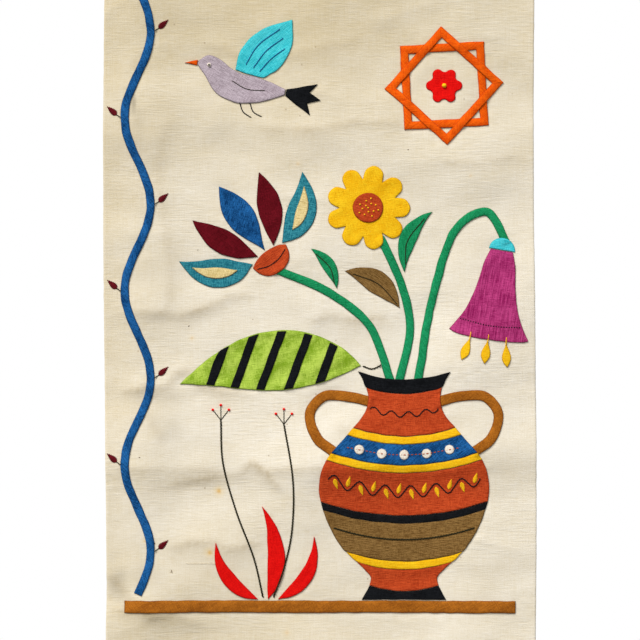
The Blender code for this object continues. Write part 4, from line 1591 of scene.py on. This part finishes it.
for node, patch in patches.items():
    thread = cloth_of[node]
    for loop in patch.loops:
        inward = inward_of(loop)
        for i in range(1, len(loop), STEPS_A_STITCH):
            (x, z), (in_x, in_z) = loop[i], inward[i]
            out = (x - in_x * SLIP_OUT + in_z * SLIP_SLANT, z - in_z * SLIP_OUT - in_x * SLIP_SLANT)
            into = (x + in_x * SLIP_IN - in_z * SLIP_SLANT, z + in_z * SLIP_IN + in_x * SLIP_SLANT)
            stitch(thread, on_front(*out, patch.bed(x, z) + COMES_UP),
                   on_front(*into, patch.face(*into, SLIP_IN) + CATCHES), *SLIP_BEAD)
            on = loop[(i + STEPS_A_STITCH - 1) % len(loop)]
            stitch(thread, on_back(x, z, LIES_BACK), on_back(*on, LIES_BACK), *SLIP_DASH)
print("slip stitches:", sum(len(made) for made in stitches.values()) // 2)

# %% [markdown]
# ## Hem stitches
#
# The hem is slip-stitched in undyed thread, in longer stitches, since they bear less and show less.
# Each is a dash at the back and only a prick at the front. The hem could do without them, but the
# hanging is also seen from behind.

# %% Hem stitches
HEM_PITCH, HEM_LENGTH = 6.5, 2.8
HEM_BEAD, HEM_PRICK = (0.5, 0.45), (0.4, 0.3)
HEM_INSET, HEM_CLEAR, HEM_LIFT = 1.2, 1.5, 0.10


def hem_stitches(start, end):
    """Slip stitches along a hem from one point to another, with a prick at the front for each."""
    run = even_steps([Vector(start), Vector(end)], HEM_PITCH)
    way = (Vector(end) - Vector(start)).normalized()
    for x, z in run[1:]:
        ahead = Vector((x, z)) + way * HEM_LENGTH
        stitch("undyed", on_back(x, z, HEM_LIFT), on_back(*ahead, HEM_LIFT), *HEM_BEAD)
        stitch("undyed", on_front(x, z, 0.0), on_front(x + way.x, z + way.y, 0.0), *HEM_PRICK)


hem_in = HEM - HEM_INSET
hem_left, hem_right = canvas_low.x + hem_in + HEM_CLEAR, canvas_high.x - hem_in - HEM_CLEAR
hem_low, hem_top = canvas_low.z + hem_in + HEM_CLEAR, canvas_high.z - hem_in
hem_corners = ((hem_left, hem_low), (hem_left, hem_top), (hem_right, hem_top), (hem_right, hem_low))
for start, end in zip(hem_corners, (*hem_corners[1:], hem_corners[0])):
    hem_stitches(start, end)
print("hem stitches:", len(stitches["undyed"]) // 2)

# %% [markdown]
# ## Embroidery
#
# The lines are stem stitch: each stitch is about four millimetres long, slants a little across the
# line and starts before the last one ends, which gives the look of a rope. One thick curve would be
# quicker, but it would look like wire. Running stitch leaves an even space between the stitches.
# All of them take their height from whatever cloth lies below them.

# %% Stem stitch and running stitch
STEM_PITCH, STEM_LENGTH, STEM_SLANT, STEM_BACK = 2.8, 3.9, 0.30, 0.6
# parts of the line's width: how wide and high a stitch is, and how far its two ends are lifted
STEM_WIDE, STEM_HIGH, STEM_LIFTS = 0.92, 0.72, (0.132, 0.22)
RUN_HIGH, RUN_LIFT = 0.7, 0.05


def drawn_line(points, step):
    """Even steps along a smooth line through the points, and its last point."""
    close = curve_through([Vector(point) for point in points])
    return even_steps(close, step) + [tuple(close[-1])]


def stem_stitch(thread, points, width):
    """A line of overlapping slanted stitches."""
    line = drawn_line(points, STEM_PITCH)
    for (x, z), (next_x, next_z) in zip(line, line[1:]):
        way = Vector((next_x - x, next_z - z)).normalized()
        aside = Vector((-way.y, way.x)) * width * STEM_SLANT
        start = Vector((x, z)) - aside - way * STEM_BACK
        end = Vector((x, z)) + aside + way * (STEM_LENGTH - STEM_BACK)
        stitch(thread, on_front(*start, stand_of(*start) + width * STEM_LIFTS[0]),
               on_front(*end, stand_of(*end) + width * STEM_LIFTS[1]),
               width * STEM_WIDE, width * STEM_HIGH)


def running_stitch(thread, points, pitch, share, width):
    """A line of short stitches, each a share of the pitch long, with spaces between them."""
    line = drawn_line(points, pitch)
    for (x, z), (next_x, next_z) in zip(line, line[1:]):
        end = (x + (next_x - x) * share, z + (next_z - z) * share)
        stitch(thread, on_front(x, z, stand_of(x, z) + RUN_LIFT),
               on_front(*end, stand_of(*end) + RUN_LIFT), width, width * RUN_HIGH)


print("stem stitch overlaps by", round(1 - STEM_PITCH / STEM_LENGTH, 2), "of its length")

# %% [markdown]
# A satin leaf is filled from side to side with threads lying close together, and a French knot is
# the thread wound round the needle and drawn tight. Both could be bumps on the cloth, but real
# relief catches the light, so a knot is one fat bead and a leaf is two rows of slanting ones.

# %% Knots and satin leaves
KNOT_LIFT, KNOT_HIGH = 0.18, 0.75
SATIN_THREADS, SATIN_HIGH = 9, 0.6
SATIN_LIFT, SATIN_ROUND = 0.25, (0.1, -0.15)
SATIN_SLANT, SATIN_STARTS, SATIN_CLOSE = 0.5, 0.45, 1.3


def knot(thread, x, z, width, lift=0.0):
    """A French knot, lifted where it is worked on another."""
    height = stand_of(x, z) + width * KNOT_LIFT + lift
    stitch(thread, on_front(x - width / 2, z, height), on_front(x + width / 2, z, height),
           width, width * KNOT_HIGH)


def satin_leaf(thread, base, tip, width):
    """A small leaf filled with threads side by side, slanting back from its middle."""
    base, tip = Vector(base), Vector(tip)
    way = (tip - base).normalized()
    aside = Vector((-way.y, way.x))
    for i in range(SATIN_THREADS):
        share = (i + 0.5) / SATIN_THREADS
        middle = base.lerp(tip, share)
        half = width / 2 * math.sin(math.pi * share**0.8)
        height = stand_of(*middle) + SATIN_LIFT
        for side in (-1, 1):
            out = (aside * side - way * SATIN_SLANT) * half
            stitch(thread, on_front(*(middle - out * SATIN_STARTS), height + SATIN_ROUND[0]),
                   on_front(*(middle + out), height + SATIN_ROUND[1]),
                   (tip - base).length / SATIN_THREADS * SATIN_CLOSE, SATIN_HIGH)


def turned(points, x, z, degrees):
    """Points turned counterclockwise about the origin, then moved to x, z."""
    turn = math.radians(degrees)
    return [(x + px * math.cos(turn) - pz * math.sin(turn),
             z + px * math.sin(turn) + pz * math.cos(turn)) for px, pz in points]


def noted():
    """How many stitches are noted so far."""
    return sum(len(made) for made in stitches.values())


plain_sewing = noted()
print("a quarter turn takes (1, 0) to", [round(v) for v in turned([(1, 0)], 0, 0, 90)[0]])

# %% [markdown]
# ## Lines among the leaves
#
# Two thin stalks rise beside the red tuft and end in seed heads, and the leaves have midribs. Such
# lines are drawn on the cloth in chalk and sewn over. Here each is a few points, which a smooth
# curve runs through.

# %% Stalks and midribs
STALKS = (
    ((-57.0, -647.0), (-66.0, -608.0), (-84.0, -560.0), (-97.0, -512.0), (-99.0, -470.0)),
    ((-46.5, -647.0), (-36.0, -618.0), (-28.0, -580.0), (-27.0, -530.0), (-36.0, -474.0)),
)
SEED_HEAD = ((-7.0, 9.0), (0.0, 13.0), (7.0, 9.0))
for stalk in STALKS:
    stem_stitch("embroidery", stalk, 2.1)
    end_x, end_z = stalk[-1]
    for lean, rise in SEED_HEAD:
        stem_stitch("embroidery", ((end_x, end_z), (end_x + lean, end_z + rise)), 1.1)
        knot("red", end_x + lean * 1.15, end_z + rise * 1.15, 3.0)

MIDRIBS = (
    ((77.0, -354.0), (58.0, -334.0), (33.0, -324.0)),
    ((85.5, -315.0), (87.0, -292.0), (104.0, -269.0)),
    ((14.5, -334.0), (10.0, -318.0), (-4.0, -304.0)),
)
for rib in MIDRIBS:
    stem_stitch("embroidery", rib, 1.1)
LEAF_STALK = ((43.0, -416.0), (52.0, -419.0), (61.0, -415.0))
stem_stitch("embroidery", LEAF_STALK, 1.8)

CALYX = ((-17.0, 14.5), (-8.0, 11.0), (0.0, 10.0), (8.0, 11.0), (17.0, 14.5))
stem_stitch("black", turned(CALYX, -40.0, -321.0, 36.0), 1.1)
print("stitches so far:", noted() - plain_sewing)

# %% [markdown]
# ## The bird
#
# The bird has legs, an eye and the lines of its feathers. Its points are given as if it flew level,
# which is easier to draw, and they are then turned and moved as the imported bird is. The eye is a
# black knot worked on a larger white one.

# %% The bird's lines
BIRD = (-74.0, -134.0, -12.0)
LEGS = (
    ((-2.0, -20.0), (3.0, -28.0), (12.0, -32.0)),
    ((8.0, -18.0), (13.0, -26.0), (22.0, -29.0)),
)
FEATHERS = (
    ((-4.0, 19.0), (4.0, 40.0), (22.0, 60.0)),
    ((4.0, 17.0), (13.0, 36.0), (27.0, 52.0)),
    ((11.0, 15.0), (20.0, 30.0), (31.0, 42.0)),
)
FOLDED_WING = ((-14.0, 0.0), (2.0, -5.0), (20.0, -3.0))
EYE = (-40.0, 11.0)
for leg in LEGS:
    stem_stitch("black", turned(leg, *BIRD), 1.3)
for feather in FEATHERS:
    stem_stitch("blue", turned(feather, *BIRD), 1.2)
stem_stitch("embroidery", turned(FOLDED_WING, *BIRD), 1.0)
eye_x, eye_z = turned([EYE], *BIRD)[0]
knot("white", eye_x, eye_z, 4.2)
knot("black", eye_x, eye_z, 2.4, 1.1)
print("stitches so far:", noted() - plain_sewing)

# %% [markdown]
# ## The vase
#
# A garland runs round the vase's body, a wave round its neck and a plain line round its belly. On a
# round vase such lines would be circles, and seen a little from above they sag in the middle, so
# each follows a shallow arc as the seams do. A rust-coloured thread links the discs on the collar.

# %% The vase's garland
VASE = (84.0, -649.4, 0.0)
SAG = 0.17
GARLAND_HEIGHT, GARLAND_HALF, GARLAND_WAVE = 121.0, 76.0, 6.0
GARLAND_LEAVES = 12
LINE_STEPS = 24


def round_vase(height, half, wave=0.0, waves=0):
    """A line round the vase at a height, sagging as its seams do, with a wave on it if asked."""
    points = []
    for i in range(LINE_STEPS + 1):
        share = 2 * i / LINE_STEPS - 1
        rise = wave * math.sin(math.pi * waves * (share + 1))
        points.append((half * share, height - SAG * half * (1 - share**2) + rise))
    return turned(points, *VASE)


stem_stitch("black", round_vase(GARLAND_HEIGHT, GARLAND_HALF, GARLAND_WAVE, GARLAND_LEAVES // 2), 1.5)
for i in range(GARLAND_LEAVES):
    share = (2 * i + 1) / GARLAND_LEAVES - 1
    side = 1 if i % 2 == 0 else -1
    middle = GARLAND_HEIGHT - SAG * GARLAND_HALF * (1 - share**2)
    base = (GARLAND_HALF * share, middle + side * 2.0)
    tip = (GARLAND_HALF * share + 3.0, middle - side * 8.0)
    satin_leaf("yellow", *turned([base, tip], *VASE), 5.0)
stem_stitch("embroidery", round_vase(72.0, 70.0), 1.9)
stem_stitch("black", round_vase(191.0, 34.0, 3.0, 4), 1.4)
discs = [patches[node] for node in CUT_FROM["white"]]
disc_middles = [(disc.low + disc.high) / 2 for disc in discs]
apart = disc_middles[1] - disc_middles[0]
last_apart = disc_middles[-1] - disc_middles[-2]
threaded = [disc_middles[0] - apart * 0.55, *disc_middles, disc_middles[-1] + last_apart * 0.45]
running_stitch("rust", threaded, float(np.linalg.norm(apart)) / 6, 0.75, 1.2)
print("stitches so far:", noted() - plain_sewing)

# %% [markdown]
# ## Flowers and vine
#
# The bell's hem is marked by running stitch, and a thread hangs from it to each stamen. The knots
# of the daisy's middle lie on a spiral, each a fixed turn on from the last, which is how a real
# daisy sets its seeds. A grid of knots would look sewn by machine. The buds of the vine stand out
# from it on either side in turn.

# %% Flowers and vine
BELL = (184.0, -286.0, -9.0)
BELL_HEM = ((-31.0, -88.0), (0.0, -91.0), (31.0, -88.0))
running_stitch("black", turned(BELL_HEM, *BELL), 2.6, 0.6, 1.4)
for x in (-18.0, 0.0, 18.0):
    stem_stitch("yellow", turned(((x, -100.0), (x * 1.02, -107.5)), *BELL), 1.2)

DAISY_X, DAISY_Z = 48.0, -258.0
DAISY_KNOTS, KNOT_TURN, KNOT_SPREAD = 14, 2.4, 2.9
for i in range(DAISY_KNOTS):
    around, out = KNOT_TURN * i, KNOT_SPREAD * math.sqrt(i)
    knot("yellow", DAISY_X + out * math.cos(around), DAISY_Z + out * math.sin(around), 1.9)
ROSETTE = (124.0, -136.0)
knot("yellow", *ROSETTE, 5.0)

VINE_X, VINE_SWING = -182.0, 17.5
FIRST_BUD, BUD_PITCH = -81.3, 86.6
for k, side in enumerate((1, -1, 1, -1, 1, -1, 1)):
    x, z = VINE_X + side * VINE_SWING, FIRST_BUD - BUD_PITCH * k
    stem_stitch("embroidery", ((x - side * 0.5, z), (x + side * 4.0, z + 3.0)), 1.1)
    satin_leaf("burgundy", (x + side * 3.5, z + 2.5), (x + side * 13.0, z + 11.0), 7.0)
print("stitches and knots of embroidery:", noted() - plain_sewing)

# %% [markdown]
# ## Flecks and a slub
#
# A few stray things are caught in the cloth: flecks of husk, and a slub where a thick bit of yarn
# was woven in. The finest flecks are part of the canvas's finish. These larger ones stand up from
# it, so they are made as stitches are.

# %% Flecks and a slub
HUSKS = (
    # x, z, length, turn in degrees, width
    (-91.0, -130.0, 2.2, 80.0, 0.8), (-81.0, -138.0, 1.6, 10.0, 0.9), (-83.0, -150.0, 1.8, 60.0, 0.7),
    (-131.0, -376.0, 2.0, 30.0, 0.9), (-180.0, -507.0, 1.8, 0.0, 0.9),
    (-165.0, -593.0, 1.6, 50.0, 1.0), (-148.0, -621.0, 4.4, 105.0, 0.8),
    (88.0, -200.0, 1.6, 20.0, 0.8), (-12.0, -236.0, 1.5, 70.0, 0.8), (-122.0, -300.0, 1.4, 40.0, 0.7),
)
for x, z, length, degrees, width in HUSKS:
    way = Vector((math.cos(math.radians(degrees)), math.sin(math.radians(degrees)))) * length / 2
    stitch("husk", on_front(x - way.x, z - way.y, 0.12), on_front(x + way.x, z + way.y, 0.12), width, 0.4)

SLUB_X, SLUB_Z = -134.0, -613.0
SLUB_PARTS, SLUB_PITCH, SLUB_LENGTH = 7, 4.2, 5.0
SLUB_LIFT, SLUB_BEAD = 0.15, (0.9, 0.6)
for i in range(SLUB_PARTS):
    x = SLUB_X + SLUB_PITCH * i
    stitch("undyed", on_front(x, SLUB_Z, SLUB_LIFT),
           on_front(x + SLUB_LENGTH, SLUB_Z - 0.2, SLUB_LIFT), *SLUB_BEAD)
print("husks:", len(HUSKS), "and slubs: 1")

# %% [markdown]
# ## Making the threads
#
# Every noted stitch now gets its bead: one low sphere, stretched from the start of the stitch to
# its end and laid flat on the cloth. Instances would be lighter in Blender, but an export needs
# real meshes, so the beads of one thread are joined into one piece.

# %% Make the thread pieces
BEAD_SIDES, BEAD_RINGS = 5, 3

round_bm = bmesh.new()
bmesh.ops.create_uvsphere(round_bm, u_segments=BEAD_SIDES, v_segments=BEAD_RINGS, radius=1.0)
for face in round_bm.faces:
    face.smooth = True
round_bead = bpy.data.meshes.new("round_bead")
round_bm.to_mesh(round_bead)
round_bm.free()


def thread_piece(thread):
    """Joins every stitch of one thread into a piece."""
    bm = bmesh.new()
    for start, end, half_width, half_height in stitches[thread]:
        along = (end - start) / 2
        side = along.cross(Vector((0.0, -1.0, 0.0))).normalized()
        up = side.cross(along).normalized()
        turn = Matrix((side * half_width, up * half_height, along)).transposed().to_4x4()
        bead = round_bead.copy()
        bead.transform(Matrix.Translation((start + end) / 2) @ turn)
        bm.from_mesh(bead)
        bpy.data.meshes.remove(bead)
    bmesh.ops.recalc_face_normals(bm, faces=bm.faces[:])
    slot = THREAD_ONLY[thread][2] if thread in THREAD_ONLY else thread
    return piece_from(bm, thread + "_stitches", thread_finishes[thread], slot)


thread_pieces = [thread_piece(thread) for thread in stitches if stitches[thread]]
bpy.data.meshes.remove(round_bead)
print("thread pieces:", len(thread_pieces),
      "with", sum(len(piece.data.polygons) for piece in thread_pieces), "faces")
